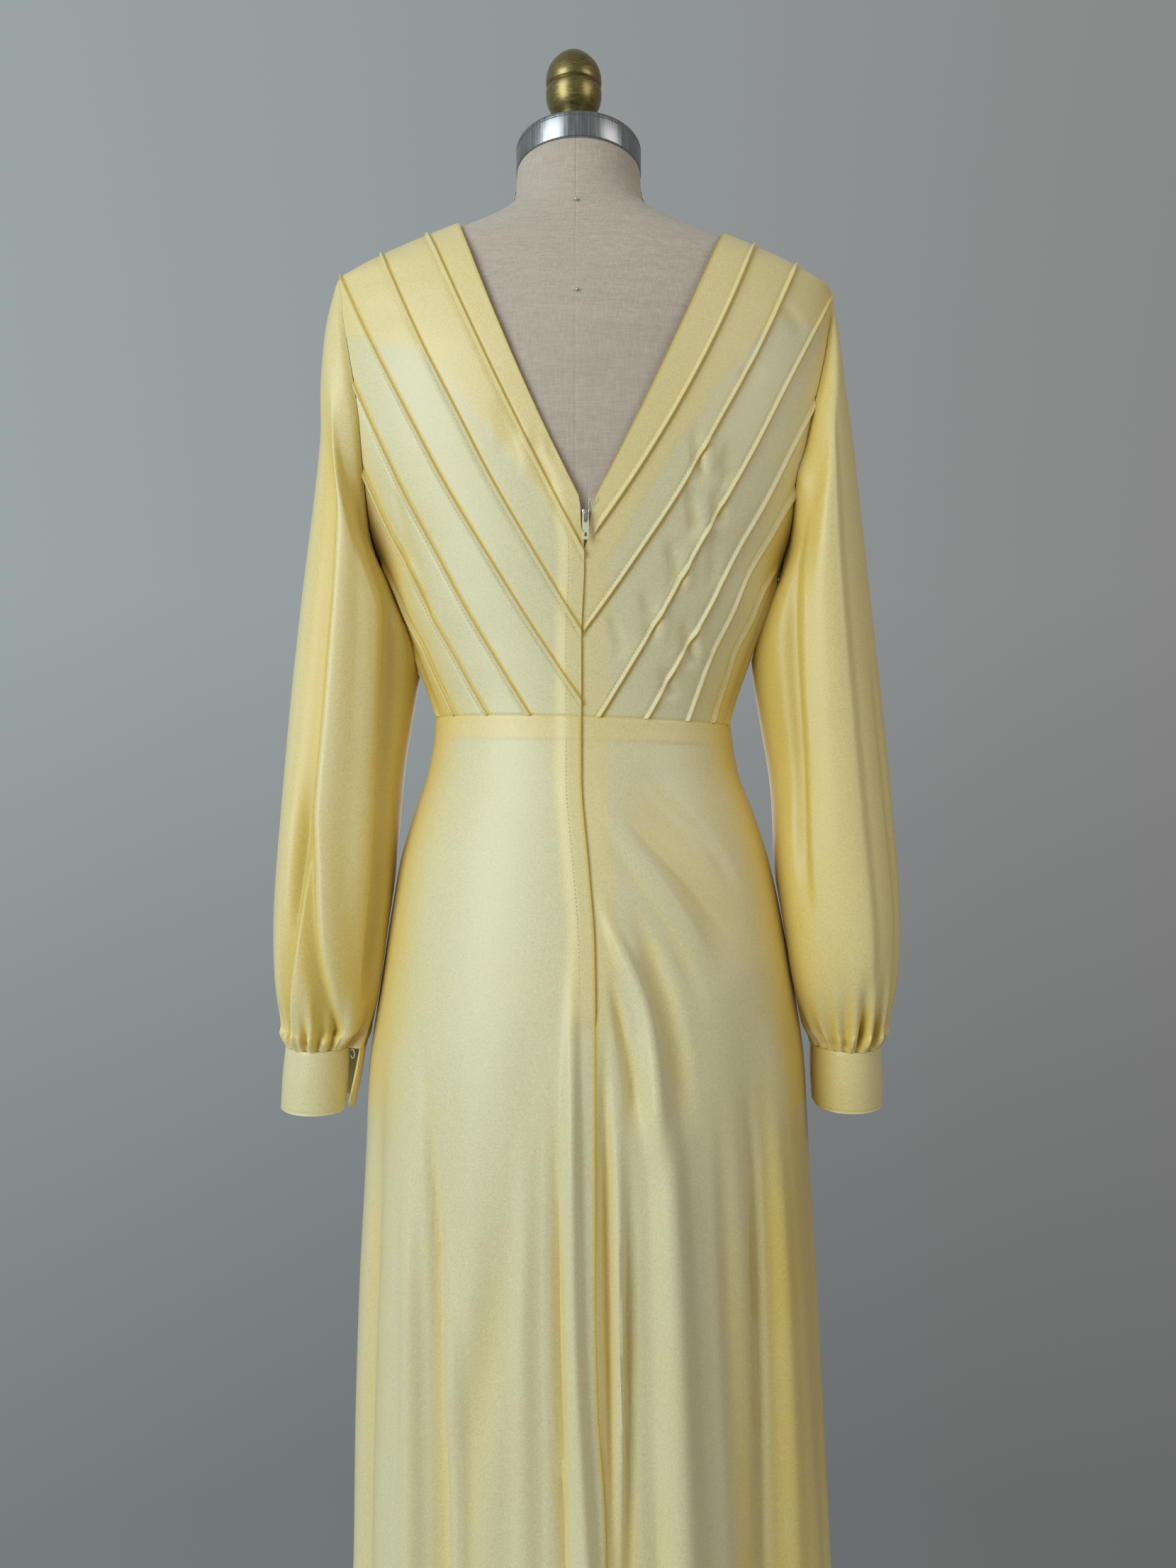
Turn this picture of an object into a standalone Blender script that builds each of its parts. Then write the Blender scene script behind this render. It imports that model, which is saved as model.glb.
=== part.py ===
"""Long sleeve maxi dress on a limbless dress form.

Metres, +Z up. The back of the dress faces +Y, and its left side as seen from behind is at +X.
The origin is the centre of the flat underside of the base, on the floor.
"""
import math

import bmesh
import bpy
import numpy as np

# Cloth and seams
WALL = 0.0015
CUFF_WALL = 0.0018
SEAM_GAP = 0.0003
ARMHOLE_GAP = 0.0005

# Heights
HEM_HEIGHT = 0.040
WAIST_HEIGHT = 1.0507
WAIST_TILT = 0.029
ZIP_END_HEIGHT = 0.838

# Pintucks, the lap over the zip, and the right edge under it
TUCK_HEIGHT = 0.0024
TUCK_HALF_WIDTH = 0.0017
LAP_WIDTH = 0.0140
LAP_FLAT = 0.0090
LAP_LIFT = 0.0024
LAP_FADE = 0.0160
UNDERLAP = 0.0012

# Zip; the tape lies inside the cloth
TAPE_HALF_WIDTH = 0.0055
TAPE_THICKNESS = 0.0008
TEETH_HALF_WIDTH = 0.0016
TEETH_RISE = 0.0004
CHAIN_DEPTH = WALL + SEAM_GAP + TEETH_RISE
CHAIN_FROM_EDGE = 0.0035
CHAIN_BEND = (1.150, 1.195)
CHAIN_END_HEIGHT = ZIP_END_HEIGHT + 0.006
CHAIN_ROWS = 18
TEETH_SLOPE = 0.0002
SLIDER_HEIGHT = 1.1975
SLIDER_DEPTH_IN_CLOTH = 0.0009
SLIDER_X = -0.0060
SLIDER_SIZE = (0.0052, 0.0042, 0.0115)
PULL_SIZE = (0.0050, 0.0010, 0.0205)
PULL_BAR = 0.0012
PULL_RISE = 0.0042
HINGE_HEIGHT = 1.2000
BRIDGE_WIDTH = 0.0014
BRIDGE_BAR = 0.0011
BRIDGE_ROOT = 0.0010
BRIDGE_PLAY = (0.0009, 0.0005)
BRIDGE_LOW_LEG = 0.0048
SLIDER_BEVEL = 0.0007
PULL_BEVEL = 0.0003
# Holes of the pull: width, height and how far the middle lies below its top or above its foot
BRIDGE_HOLE = (0.0025, 0.0066, 0.0039)
GRIP_HOLE = (0.0018, 0.0030, 0.0038)

# Dress form stand
BASE_RADIUS = 0.170
BASE_THICKNESS = 0.018
BAND_HEIGHT = 0.0205
BAND_TILT = 0.150
FINIAL_X = 0.004
BAND_HALF_WIDTH = 0.0512
BAND_HALF_DEPTH = 0.0485
NECK_TOP_HEIGHT = 1.4990
# Edge of the band: inset and height above its underside
BAND_PROFILE = ((0.0006, 0.0), (0.0, 0.0006), (0.0, BAND_HEIGHT - 0.0006), (0.0006, BAND_HEIGHT))
BAND_SEGMENTS = 32
FORM_SEGMENTS = 32
FINIAL_SEGMENTS = 20
BASE_SEGMENTS = 36
POLE_SEGMENTS = 20

# Outer face of the dress round the body, a row for each height
BODY_COLUMNS = ("height", "centre_x", "half_width", "back", "front")
BODY_ROWS = (
    (0.040, -0.0130, 0.2090, 0.182, 0.170),
    (0.360, -0.0115, 0.1945, 0.162, 0.148),
    (0.500, -0.0090, 0.1900, 0.152, 0.138),
    (0.600, -0.0080, 0.1860, 0.145, 0.131),
    (0.700, -0.0075, 0.1805, 0.138, 0.124),
    (0.775, -0.0070, 0.1770, 0.131, 0.118),
    (0.830, -0.0070, 0.1695, 0.125, 0.113),
    (0.900, -0.0060, 0.1580, 0.114, 0.107),
    (0.940, -0.0050, 0.1499, 0.106, 0.104),
    (0.980, -0.0044, 0.1374, 0.097, 0.100),
    (1.010, -0.0036, 0.1269, 0.090, 0.098),
    (1.050, -0.0035, 0.1208, 0.085, 0.093),
    (1.100, -0.0030, 0.1367, 0.087, 0.097),
    (1.145, -0.0030, 0.1560, 0.091, 0.105),
    (1.178, -0.0020, 0.1640, 0.095, 0.111),
    (1.220, -0.0010, 0.1820, 0.098, 0.113),
    (1.270, 0.0000, 0.1990, 0.100, 0.108),
    (1.320, 0.0000, 0.2080, 0.099, 0.097),
    (1.370, 0.0000, 0.2105, 0.091, 0.080),
    (1.400, 0.0000, 0.2070, 0.082, 0.066),
    (1.411, 0.0000, 0.1920, 0.078, 0.060),
    (1.427, 0.0000, 0.1600, 0.070, 0.051),
    (1.441, 0.0000, 0.1250, 0.064, 0.045),
    (1.4506, 0.0000, 0.0970, 0.060, 0.042),
    (1.460, 0.0000, 0.0720, 0.056, 0.040),
)

# Surface of the form's torso and neck, as rows of height, half width, back depth, front depth and
# tilt, which is how much a ring climbs for each metre towards the back
FORM_ROWS = (
    (0.800, 0.1200, 0.074, 0.070, 0.00),
    (0.808, 0.1420, 0.094, 0.086, 0.00),
    (0.832, 0.1540, 0.110, 0.098, 0.00),
    (0.865, 0.1520, 0.112, 0.101, 0.00),
    (0.900, 0.1470, 0.109, 0.101, 0.00),
    (0.940, 0.1400, 0.101, 0.099, 0.00),
    (0.980, 0.1285, 0.0925, 0.0955, 0.00),
    (1.010, 0.1195, 0.0862, 0.0935, 0.00),
    (1.030, 0.1155, 0.0828, 0.0905, 0.00),
    (1.050, 0.1135, 0.0815, 0.0885, 0.00),
    (1.075, 0.1175, 0.0822, 0.0900, 0.00),
    (1.100, 0.1275, 0.0832, 0.0925, 0.00),
    (1.145, 0.1420, 0.0875, 0.1005, 0.00),
    (1.178, 0.1500, 0.0915, 0.1065, 0.00),
    (1.220, 0.1560, 0.0945, 0.1085, 0.00),
    (1.270, 0.1620, 0.0965, 0.1035, 0.00),
    (1.320, 0.1690, 0.0955, 0.0925, 0.00),
    (1.360, 0.1780, 0.0895, 0.0790, 0.00),
    (1.388, 0.1835, 0.0820, 0.0665, 0.00),
    (1.404, 0.1790, 0.0760, 0.0585, 0.00),
    (1.4130, 0.1720, 0.0728, 0.0543, 0.00),
    (1.4248, 0.1565, 0.0680, 0.0486, 0.00),
    (1.4388, 0.1225, 0.0617, 0.0426, 0.00),
    (1.4484, 0.0952, 0.0580, 0.0398, 0.00),
    (1.4578, 0.0715, 0.0545, 0.0395, 0.02),
    (1.4680, 0.0570, 0.0510, 0.0405, 0.05),
    (1.4790, 0.0520, 0.0482, 0.0430, 0.10),
    (NECK_TOP_HEIGHT, 0.0505, 0.0468, 0.0478, BAND_TILT),
)

# Centre back: x of the left back's free edge, which laps over the zip
CENTRE_COLUMNS = ("height", "x")
CENTRE_ROWS = (
    (0.040, -0.0240),
    (0.480, -0.0205),
    (0.560, -0.0150),
    (0.640, -0.0130),
    (0.830, -0.0130),
    (0.880, -0.0124),
    (0.935, -0.0085),
    (1.008, -0.0027),
    (1.110, -0.0027),
    (1.165, -0.0048),
    (1.183, -0.0044),
    (1.191, -0.0026),
    (1.204, -0.0020),
    (1.214, -0.0006),
)
# How far the right back's edge stands from that edge, open round the slider
NOTCH_COLUMNS = ("height", "x")
NOTCH_ROWS = (
    (0.842, UNDERLAP),
    (1.172, UNDERLAP),
    (1.183, -0.0040),
    (1.191, -0.0078),
    (1.200, -0.0082),
    (1.210, -0.0100),
)

# Armhole seams on the back and the front, half of the dress each; x is measured outwards
ARMHOLE_COLUMNS = ("height", "back_x", "front_x")
ARMHOLE_ROWS = {
    "left": (
        (1.178, 0.1620, 0.1620),
        (1.200, 0.1660, 0.1630),
        (1.239, 0.1678, 0.1600),
        (1.280, 0.1700, 0.1590),
        (1.313, 0.1744, 0.1630),
        (1.364, 0.1839, 0.1770),
        (1.390, 0.1878, 0.1850),
        (1.411, 0.1920, 0.1920),
    ),
    "right": (
        (1.172, 0.1648, 0.1648),
        (1.178, 0.1650, 0.1648),
        (1.184, 0.1662, 0.1653),
        (1.196, 0.1697, 0.1670),
        (1.240, 0.1713, 0.1640),
        (1.265, 0.1785, 0.1640),
        (1.298, 0.1854, 0.1680),
        (1.332, 0.1938, 0.1760),
        (1.356, 0.1985, 0.1860),
        (1.380, 0.2025, 0.1960),
        (1.400, 0.2070, 0.2070),
    ),
}

# Lines on each back bodice. top is the height on the shoulder or armhole, foot the height on the
# centre back or the outward x on the waist, bow the sideways bulge, wave the ripple of the line
LINE_COLUMNS = ("name", "top", "ends_on", "foot", "bow", "wave", "raised")
LINE_ROWS = {
    "left": (
        ("neckline", 1.4506, "centre", 1.2138, 0.0055, 0.0000, False),
        ("tuck 1", 1.4420, "centre", 1.1720, 0.0045, 0.0000, True),
        ("tuck 2", 1.4275, "centre", 1.1140, 0.0085, 0.0004, True),
        ("tuck 3", 1.4110, "centre", 1.0620, 0.0100, 0.0004, True),
        ("corner", 1.3600, "corner", 0.0000, 0.0080, 0.0000, False),
        ("lap middle", 1.3520, "waist", 0.0018, 0.0078, 0.0000, False),
        ("lap flat", 1.3440, "waist", 0.0063, 0.0074, 0.0000, False),
        ("lap stitches", 1.3360, "waist", 0.0113, 0.0070, 0.0000, False),
        ("tuck 4", 1.3090, "waist", 0.0364, 0.0055, 0.0005, True),
        ("tuck 5", 1.2420, "waist", 0.0696, 0.0030, 0.0008, True),
        ("tuck 6", 1.1940, "waist", 0.0970, 0.0000, 0.0008, True),
        ("tuck 7", 1.1830, "waist", 0.1120, -0.0010, 0.0000, True),
    ),
    "right": (
        ("neckline", 1.4435, "centre", 1.2093, 0.0042, 0.0000, False),
        ("tuck 1", 1.4345, "centre", 1.1780, 0.0115, 0.0000, True),
        ("tuck 2", 1.4195, "centre", 1.1108, 0.0120, 0.0006, True),
        ("corner", 1.4090, "corner", 0.0000, 0.0090, 0.0000, False),
        ("tuck 3", 1.4000, "waist", 0.0165, 0.0050, 0.0006, True),
        ("tuck 4", 1.2957, "waist", 0.0525, 0.0015, 0.0010, True),
        ("tuck 5", 1.2270, "waist", 0.0848, -0.0060, 0.0012, True),
        ("tuck 6", 1.1880, "waist", 0.1060, -0.0060, 0.0012, True),
        ("tuck 7", 1.1780, "waist", 0.1190, -0.0010, 0.0000, True),
    ),
}
# Rows along the lines, close together over the shoulder, as shares of the way to the edge marks
LINE_STEPS = (0.0, 0.0065, 0.024, 0.065, 0.14, 0.27, 0.43, 0.60, 0.76, 0.90)
# Distances from the centre edge of the last rows but one: the lap's stitches and its flat on the
# left, and the end of the raised tucks, which go flat under the lap, on the right
EDGE_MARKS = {"left": (LAP_WIDTH, LAP_FLAT), "right": (0.0045, 0.0018)}
WAIST_MARK = 0.005
SIDE_MARKS = (0.93, 0.965)
LINE_WAVES = 2.5
LINE_PHASE = 0.31
FAR_APART = 0.014
EDGE_FADE = 0.27
MOST_OF_GAP = 0.4
NEAR_WAIST = 0.0009
NEAR_EDGE = 0.0010
# Tucks that start this near to the underarm are plain under the sleeve's edge
UNDERARM_PLAIN = 0.030
UNDERARM_START = 0.08

# Front bodice: rows as heights above the waist and as degrees round the armhole from the underarm
FRONT_LOW_ROWS = (0.0, 0.04, 0.085)
FRONT_ARMHOLE_ROWS = (0, 10, 22, 38, 58, 80, 102, 122, 138, 151, 162, 171, 180)
# Columns of the front as shares of the way from the shoulder tip to the neckline, then across it
FRONT_SHOULDER_SHARES = np.array((0.0, 0.08, 0.22, 0.42, 0.68, 1.0))
FRONT_NECK_SHARES = np.array((0.008, 0.03, 0.08, 0.24, 0.50, 0.76, 0.92, 0.97, 0.992))
FRONT_NECK_DEPTH = 0.050

# Flutes of the skirt, as rows of angle at the top, angle at the hem, starting height, depth and half
# width; the angles are in degrees from the centre back, positive to the left side
FLUTE_GROWTH = 0.8
FLUTE_ROWS = (
    (66.0, 70.0, 0.82, -0.012, 11.0),
    (52.0, 53.0, 0.80, 0.009, 10.0),
    (37.0, 37.0, 0.80, -0.013, 9.0),
    (28.0, 27.0, 0.80, 0.008, 8.0),
    (13.0, 12.0, 0.84, -0.008, 9.0),
    (3.0, 3.0, 0.84, 0.005, 7.0),
    (-12.0, -12.0, 0.84, -0.008, 7.0),
    (-20.0, -22.0, 0.86, 0.010, 9.0),
    (-44.0, -42.0, 0.84, -0.014, 11.0),
    (-58.0, -58.0, 0.84, 0.011, 10.0),
    (-76.0, -77.0, 0.80, -0.011, 10.0),
    (106.0, 104.0, 0.84, -0.011, 11.0),
    (124.0, 123.0, 0.84, 0.009, 10.0),
    (143.0, 143.0, 0.88, -0.012, 11.0),
    (162.0, 162.0, 0.88, 0.009, 10.0),
    (181.0, 182.0, 0.88, -0.011, 10.0),
    (201.0, 201.0, 0.88, 0.010, 10.0),
    (221.0, 222.0, 0.86, -0.012, 11.0),
    (240.0, 240.0, 0.84, 0.009, 10.0),
    (258.0, 259.0, 0.82, -0.009, 9.0),
)

# Skirt panels: heights of the rows under the waist, and distances from the centre back of the first
# columns, which follow the lap on the left
SKIRT_BACK_MARKS = (1.028, 0.985, 0.940, 0.890, 0.842, 0.838, 0.822, 0.775, 0.700, 0.600, 0.480,
                    0.340, 0.190, HEM_HEIGHT)
SKIRT_FRONT_MARKS = (1.028, 0.985, 0.940, 0.880, 0.810, 0.710, 0.590, 0.450, 0.300, 0.160, HEM_HEIGHT)
SKIRT_NEAR_COLUMNS = {"left": (0.0, LAP_FLAT, LAP_WIDTH), "right": (0.0, 0.0120)}
SKIRT_BACK_COLUMNS = 18
SKIRT_FRONT_COLUMNS = 29

# Sleeves, a row for each slanted ring: x and z of its outer point, x and z of its inner point, and
# how far it reaches to the back and to the front
SLEEVE_ROWS = {
    "left": (
        (0.2050, 1.3750, 0.1650, 1.160, 0.058, 0.064),
        (0.2090, 1.3300, 0.1560, 1.132, 0.062, 0.066),
        (0.2095, 1.2850, 0.1465, 1.105, 0.064, 0.066),
        (0.2150, 1.2300, 0.1445, 1.072, 0.064, 0.062),
        (0.2235, 1.1600, 0.1440, 1.030, 0.064, 0.058),
        (0.2320, 1.0800, 0.1455, 0.985, 0.064, 0.054),
        (0.2390, 0.9950, 0.1520, 0.930, 0.066, 0.050),
        (0.2450, 0.9050, 0.1610, 0.872, 0.068, 0.046),
        (0.2445, 0.8450, 0.1665, 0.836, 0.064, 0.040),
        (0.2405, 0.8100, 0.1705, 0.808, 0.055, 0.032),
    ),
    "right": (
        (0.2125, 1.3620, 0.1690, 1.152, 0.058, 0.064),
        (0.2170, 1.3250, 0.1640, 1.128, 0.062, 0.066),
        (0.2230, 1.2800, 0.1590, 1.102, 0.064, 0.066),
        (0.2290, 1.2250, 0.1570, 1.070, 0.064, 0.062),
        (0.2370, 1.1500, 0.1570, 1.028, 0.064, 0.058),
        (0.2455, 1.0700, 0.1590, 0.985, 0.064, 0.054),
        (0.2535, 0.9850, 0.1640, 0.930, 0.066, 0.050),
        (0.2590, 0.9000, 0.1750, 0.872, 0.068, 0.046),
        (0.2570, 0.8450, 0.1820, 0.838, 0.064, 0.038),
        (0.2510, 0.8100, 0.1875, 0.808, 0.055, 0.030),
    ),
}
SLEEVE_SEGMENTS = 40
CAP_PUFF = 0.003
UNDERARM_LIFT = 0.0008
UNDERARM_SPAN = 0.080
TIP_SPAN = 0.090
FIRST_RING_SHARE = 0.35
CUFF_PUFF = 0.004
CUFF_PUFF_INNER = 0.3
CAP_GATHERS = 10
CAP_GATHER_DEPTH = 0.0012
CUFF_GATHERS = 10
CUFF_GATHER_DEPTH = 0.0028
CAP_GATHER_ARC = 75.0
# Depth of the cuff's gathers on the sleeve's last rows
CUFF_GATHER_SHARES = (0.0, 0.25, 0.6, 1.0, 0.75)
# Long folds of a sleeve, as rows of angle in degrees from its outer side towards the back, depth, half
# width in degrees, and the first and last of the sleeve's rows that it runs over
SLEEVE_FOLD_ROWS = {
    "left": (
        (79.0, -0.007, 14.0, 2.0, 11.0),
        (45.0, -0.006, 12.0, 7.0, 11.5),
        (118.0, -0.004, 13.0, 3.0, 11.0),
        (222.0, -0.005, 15.0, 4.0, 11.0),
        (275.0, -0.006, 14.0, 2.0, 11.0),
    ),
    "right": (
        (90.0, -0.007, 13.0, 1.0, 11.0),
        (52.0, -0.004, 12.0, 6.0, 11.5),
        (128.0, -0.005, 13.0, 5.0, 11.5),
        (218.0, -0.005, 15.0, 4.0, 11.0),
        (272.0, -0.006, 14.0, 2.0, 11.0),
    ),
}

# Cuffs: centre and half sizes of the top ring, how far the lower ring moves out, and the two ends
CUFFS = {
    "left": {
        "centre": (0.2075, 0.0120),
        "half": (0.0290, 0.0360),
        "top": 0.7900,
        "height": 0.0480,
        "lower_shift": 0.0030,
        "first_angle": 146.0,
        "last_angle": -206.0,
        "end_rise": 0.0075,
    },
    "right": {
        "centre": (0.2160, 0.0130),
        "half": (0.0280, 0.0360),
        "top": 0.7900,
        "height": 0.0460,
        "lower_shift": 0.0005,
        "first_angle": 168.0,
        "last_angle": -214.0,
        "end_rise": -0.0031,
    },
}
CUFF_SEGMENTS = 22
CUFF_END_ARC = 60.0
CUFF_END_TAPER = 0.45

# Turned finial: radius and height above the band
FINIAL_PROFILE = (
    (0.0170, 0.0000),
    (0.0172, 0.0030),
    (0.0155, 0.0065),
    (0.0125, 0.0110),
    (0.0120, 0.0170),
    (0.0127, 0.0225),
    (0.0152, 0.0275),
    (0.0190, 0.0325),
    (0.0212, 0.0370),
    (0.0226, 0.0425),
    (0.0229, 0.0475),
    (0.0223, 0.0500),
    (0.0212, 0.0512),
    (0.0222, 0.0525),
    (0.0229, 0.0560),
    (0.0224, 0.0620),
    (0.0203, 0.0680),
    (0.0166, 0.0730),
    (0.0112, 0.0780),
    (0.0055, 0.0810),
    (0.0015, 0.0820),
)
FINIAL_SLOPED_PART = 0.011

# Turned pole and base: radius and height; the pole widens to a foot and to a plate under the torso
POLE_FOOT = BASE_THICKNESS + SEAM_GAP
POLE_TOP = FORM_ROWS[0][0] - SEAM_GAP
POLE_PROFILE = (
    (0.0300, POLE_FOOT),
    (0.0300, POLE_FOOT + 0.012),
    (0.0180, POLE_FOOT + 0.026),
    (0.0125, POLE_FOOT + 0.040),
    (0.0125, POLE_TOP - 0.030),
    (0.0280, POLE_TOP - 0.008),
    (0.0280, POLE_TOP),
)
BASE_PROFILE = (
    (BASE_RADIUS - 0.002, 0.0),
    (BASE_RADIUS, 0.002),
    (BASE_RADIUS, 0.011),
    (BASE_RADIUS - 0.006, 0.0165),
    (BASE_RADIUS - 0.014, BASE_THICKNESS),
)

CLOTH_COLOUR = (0.88, 0.78, 0.42, 1.0)
LINEN_COLOUR = (0.50, 0.44, 0.36, 1.0)
STEEL_COLOUR = (0.55, 0.56, 0.58, 1.0)
BRASS_COLOUR = (0.28, 0.22, 0.07, 1.0)
IRON_COLOUR = (0.03, 0.03, 0.03, 1.0)


def clear_scene():
    """Remove every object of the open file."""
    for item in list(bpy.data.objects):
        bpy.data.objects.remove(item, do_unlink=True)


def table(columns, rows):
    """Give the rows of a short table as one array for each named column."""
    return {name: np.array([row[i] for row in rows]) for i, name in enumerate(columns)}


def smooth(place, knots, values):
    """Read a monotone cubic curve through (knots, values); it holds its end values outside them."""
    knots = np.asarray(knots, dtype=float)
    values = np.asarray(values, dtype=float)
    step = np.diff(knots)
    slope = np.diff(values) / step
    tangent = np.concatenate((slope[:1], np.zeros(len(slope) - 1), slope[-1:]))
    product = slope[:-1] * slope[1:]
    total = slope[:-1] + slope[1:]
    turning = product > 0
    tangent[1:-1][turning] = 2.0 * product[turning] / total[turning]
    place = np.clip(place, knots[0], knots[-1])
    i = np.clip(np.searchsorted(knots, place) - 1, 0, len(step) - 1)
    t = (place - knots[i]) / step[i]
    start = (1 + 2 * t) * (1 - t) ** 2 * values[i] + t * (1 - t) ** 2 * step[i] * tangent[i]
    end = t * t * (3 - 2 * t) * values[i + 1] + t * t * (t - 1) * step[i] * tangent[i + 1]
    return start + end


def ease(value):
    """Go from 0 to 1 with level ends."""
    t = np.clip(value, 0.0, 1.0)
    return t * t * (3.0 - 2.0 * t)


def unit(vectors):
    """Scale vectors to length 1."""
    length = np.linalg.norm(vectors, axis=-1, keepdims=True)
    return vectors / np.maximum(length, 1e-12)


BODY = table(BODY_COLUMNS, BODY_ROWS)
CENTRE = table(CENTRE_COLUMNS, CENTRE_ROWS)
NOTCH = table(NOTCH_COLUMNS, NOTCH_ROWS)
SIGN = {"left": 1.0, "right": -1.0}


def body(name, height):
    """Read one column of the body table at a height."""
    return smooth(height, BODY["height"], BODY[name])


def bump(offset):
    """Give a soft hump that is 1 at offset 0 and 0 from offset 1 on."""
    t = np.clip(np.abs(offset), 0.0, 1.0)
    return 0.5 + 0.5 * np.cos(math.pi * t)


def flutes(angle, height):
    """Add up the skirt's flutes, which start at the hip and are deepest at the hem."""
    total = np.zeros(np.broadcast(angle, height).shape)
    degrees = np.degrees(angle)
    for top_angle, hem_angle, start, depth, half_width in FLUTE_ROWS:
        fall = np.clip((start - height) / (start - HEM_HEIGHT), 0.0, 1.0)
        middle = top_angle + (hem_angle - top_angle) * fall
        offset = (degrees - middle + 180.0) % 360.0 - 180.0
        total = total + depth * fall ** FLUTE_GROWTH * bump(offset / half_width)
    return total


def body_face(angle, height):
    """Outer face of the dress: an ellipse for each height, moved out by the flutes.

    angle is 0 at the centre back, a right angle at the left side and half a turn at the front.
    """
    half_width = body("half_width", height)
    depth = np.where(np.cos(angle) > 0, body("back", height), body("front", height))
    out_x = np.sin(angle) / half_width
    out_y = np.cos(angle) / depth
    length = np.hypot(out_x, out_y)
    rise = flutes(angle, height)
    x = body("centre_x", height) + half_width * np.sin(angle) + rise * out_x / length
    y = depth * np.cos(angle) + rise * out_y / length
    return np.stack((x, y, height + 0.0 * x), axis=-1)


def body_normal(angle, height):
    """Outward normal of the dress's face, from its slopes round the body and up it."""
    step_angle = 0.002
    step_height = 0.0005
    round_body = body_face(angle + step_angle, height) - body_face(angle - step_angle, height)
    up_body = body_face(angle, height + step_height) - body_face(angle, height - step_height)
    return unit(np.cross(up_body, round_body))


def back_angle(x, height):
    """Angle on the back half of the body at a sideways place; it stops just short of the side seam."""
    depth = body("back", height)
    limit = math.pi / 2 - 0.5 * SEAM_GAP / depth
    share = np.clip((x - body("centre_x", height)) / body("half_width", height), -1.0, 1.0)
    return np.clip(np.arcsin(share), -limit, limit)


def front_angle(x, height):
    """Angle on the front half of the body, measured on from the back."""
    depth = body("front", height)
    limit = math.pi / 2 - 0.5 * SEAM_GAP / depth
    share = np.clip((x - body("centre_x", height)) / body("half_width", height), -1.0, 1.0)
    return math.pi - np.clip(np.arcsin(share), -limit, limit)


def waist_height(x):
    """Height of the waist seam, a little higher on the left."""
    return WAIST_HEIGHT + WAIST_TILT * x


def left_edge(height):
    """x of the left back's free edge."""
    return smooth(height, CENTRE["height"], CENTRE["x"])


def right_edge(height):
    """x of the right back's edge: under the lap along the zip, beside the left one below it."""
    along_zip = np.interp(height, NOTCH["height"], NOTCH["x"])
    share = np.clip((height - ZIP_END_HEIGHT) / (NOTCH_ROWS[0][0] - ZIP_END_HEIGHT), 0.0, 1.0)
    return left_edge(height) + along_zip * share - SEAM_GAP * (1.0 - share)


def free_edge(side, height):
    """x of a back panel's edge at the centre back."""
    return left_edge(height) if side == "left" else right_edge(height)


def lap_lift(x, height):
    """How far the left back is raised near its free edge, to pass over the zip."""
    share = ease((LAP_WIDTH - (x - left_edge(height))) / (LAP_WIDTH - LAP_FLAT))
    return LAP_LIFT * share * ease((height - ZIP_END_HEIGHT + LAP_FADE) / LAP_FADE)


def armhole_x(side, name, height):
    """Outward x of an armhole seam at a height."""
    rows = table(ARMHOLE_COLUMNS, ARMHOLE_ROWS[side])
    return smooth(height, rows["height"], rows[name])


def make_material(name, colour, roughness, metallic):
    """Principled material with one colour."""
    material = bpy.data.materials.new(name)
    material.use_nodes = True
    shader = material.node_tree.nodes["Principled BSDF"]
    shader.inputs["Base Color"].default_value = colour
    shader.inputs["Roughness"].default_value = roughness
    shader.inputs["Metallic"].default_value = metallic
    return material


def make_object(name, points, faces, material):
    """Mesh object in world coordinates, with its faces turned outwards and shaded smooth."""
    mesh = bpy.data.meshes.new(name)
    mesh.from_pydata([tuple(p) for p in points], [], [tuple(f) for f in faces])
    mesh.validate()
    shape = bmesh.new()
    shape.from_mesh(mesh)
    if shape.calc_volume(signed=True) < 0:
        bmesh.ops.reverse_faces(shape, faces=shape.faces)
    shape.to_mesh(mesh)
    shape.free()
    mesh.shade_smooth()
    mesh.set_sharp_from_angle(angle=math.radians(40.0))
    mesh.materials.append(material)
    item = bpy.data.objects.new(name, mesh)
    bpy.context.scene.collection.objects.link(item)
    return item


def wall(name, outer, inner, material, closed=False):
    """Closed cloth wall between two grids of points; closed joins the last column to the first.

    Both faces are cut into triangles along the same diagonals, the shorter ones, so that they stay apart.
    """
    rows, columns = outer.shape[:2]
    points = np.concatenate((outer.reshape(-1, 3), inner.reshape(-1, 3)))
    index = np.arange(rows * columns).reshape(rows, columns)
    if closed:
        index = np.concatenate((index, index[:, :1]), axis=1)
    under = index + rows * columns
    a, b, c, d = index[:-1, :-1], index[:-1, 1:], index[1:, 1:], index[1:, :-1]
    falling = np.linalg.norm(points[a] - points[c], axis=-1) <= np.linalg.norm(points[b] - points[d], axis=-1)
    falling = falling[..., None]
    first = np.where(falling, np.stack((a, b, c), axis=-1), np.stack((a, b, d), axis=-1)).reshape(-1, 3)
    second = np.where(falling, np.stack((a, c, d), axis=-1), np.stack((b, c, d), axis=-1)).reshape(-1, 3)
    faces = np.concatenate((first, second)).tolist()
    faces += (np.concatenate((first, second))[:, ::-1] + rows * columns).tolist()
    borders = [(index[0], under[0]), (index[-1, ::-1], under[-1, ::-1])]
    if not closed:
        borders += [(index[::-1, 0], under[::-1, 0]), (index[:, -1], under[:, -1])]
    for top, low in borders:
        faces.extend(np.stack((top[1:], top[:-1], low[:-1], low[1:]), axis=-1).tolist())
    return make_object(name, points, faces, material)


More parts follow.
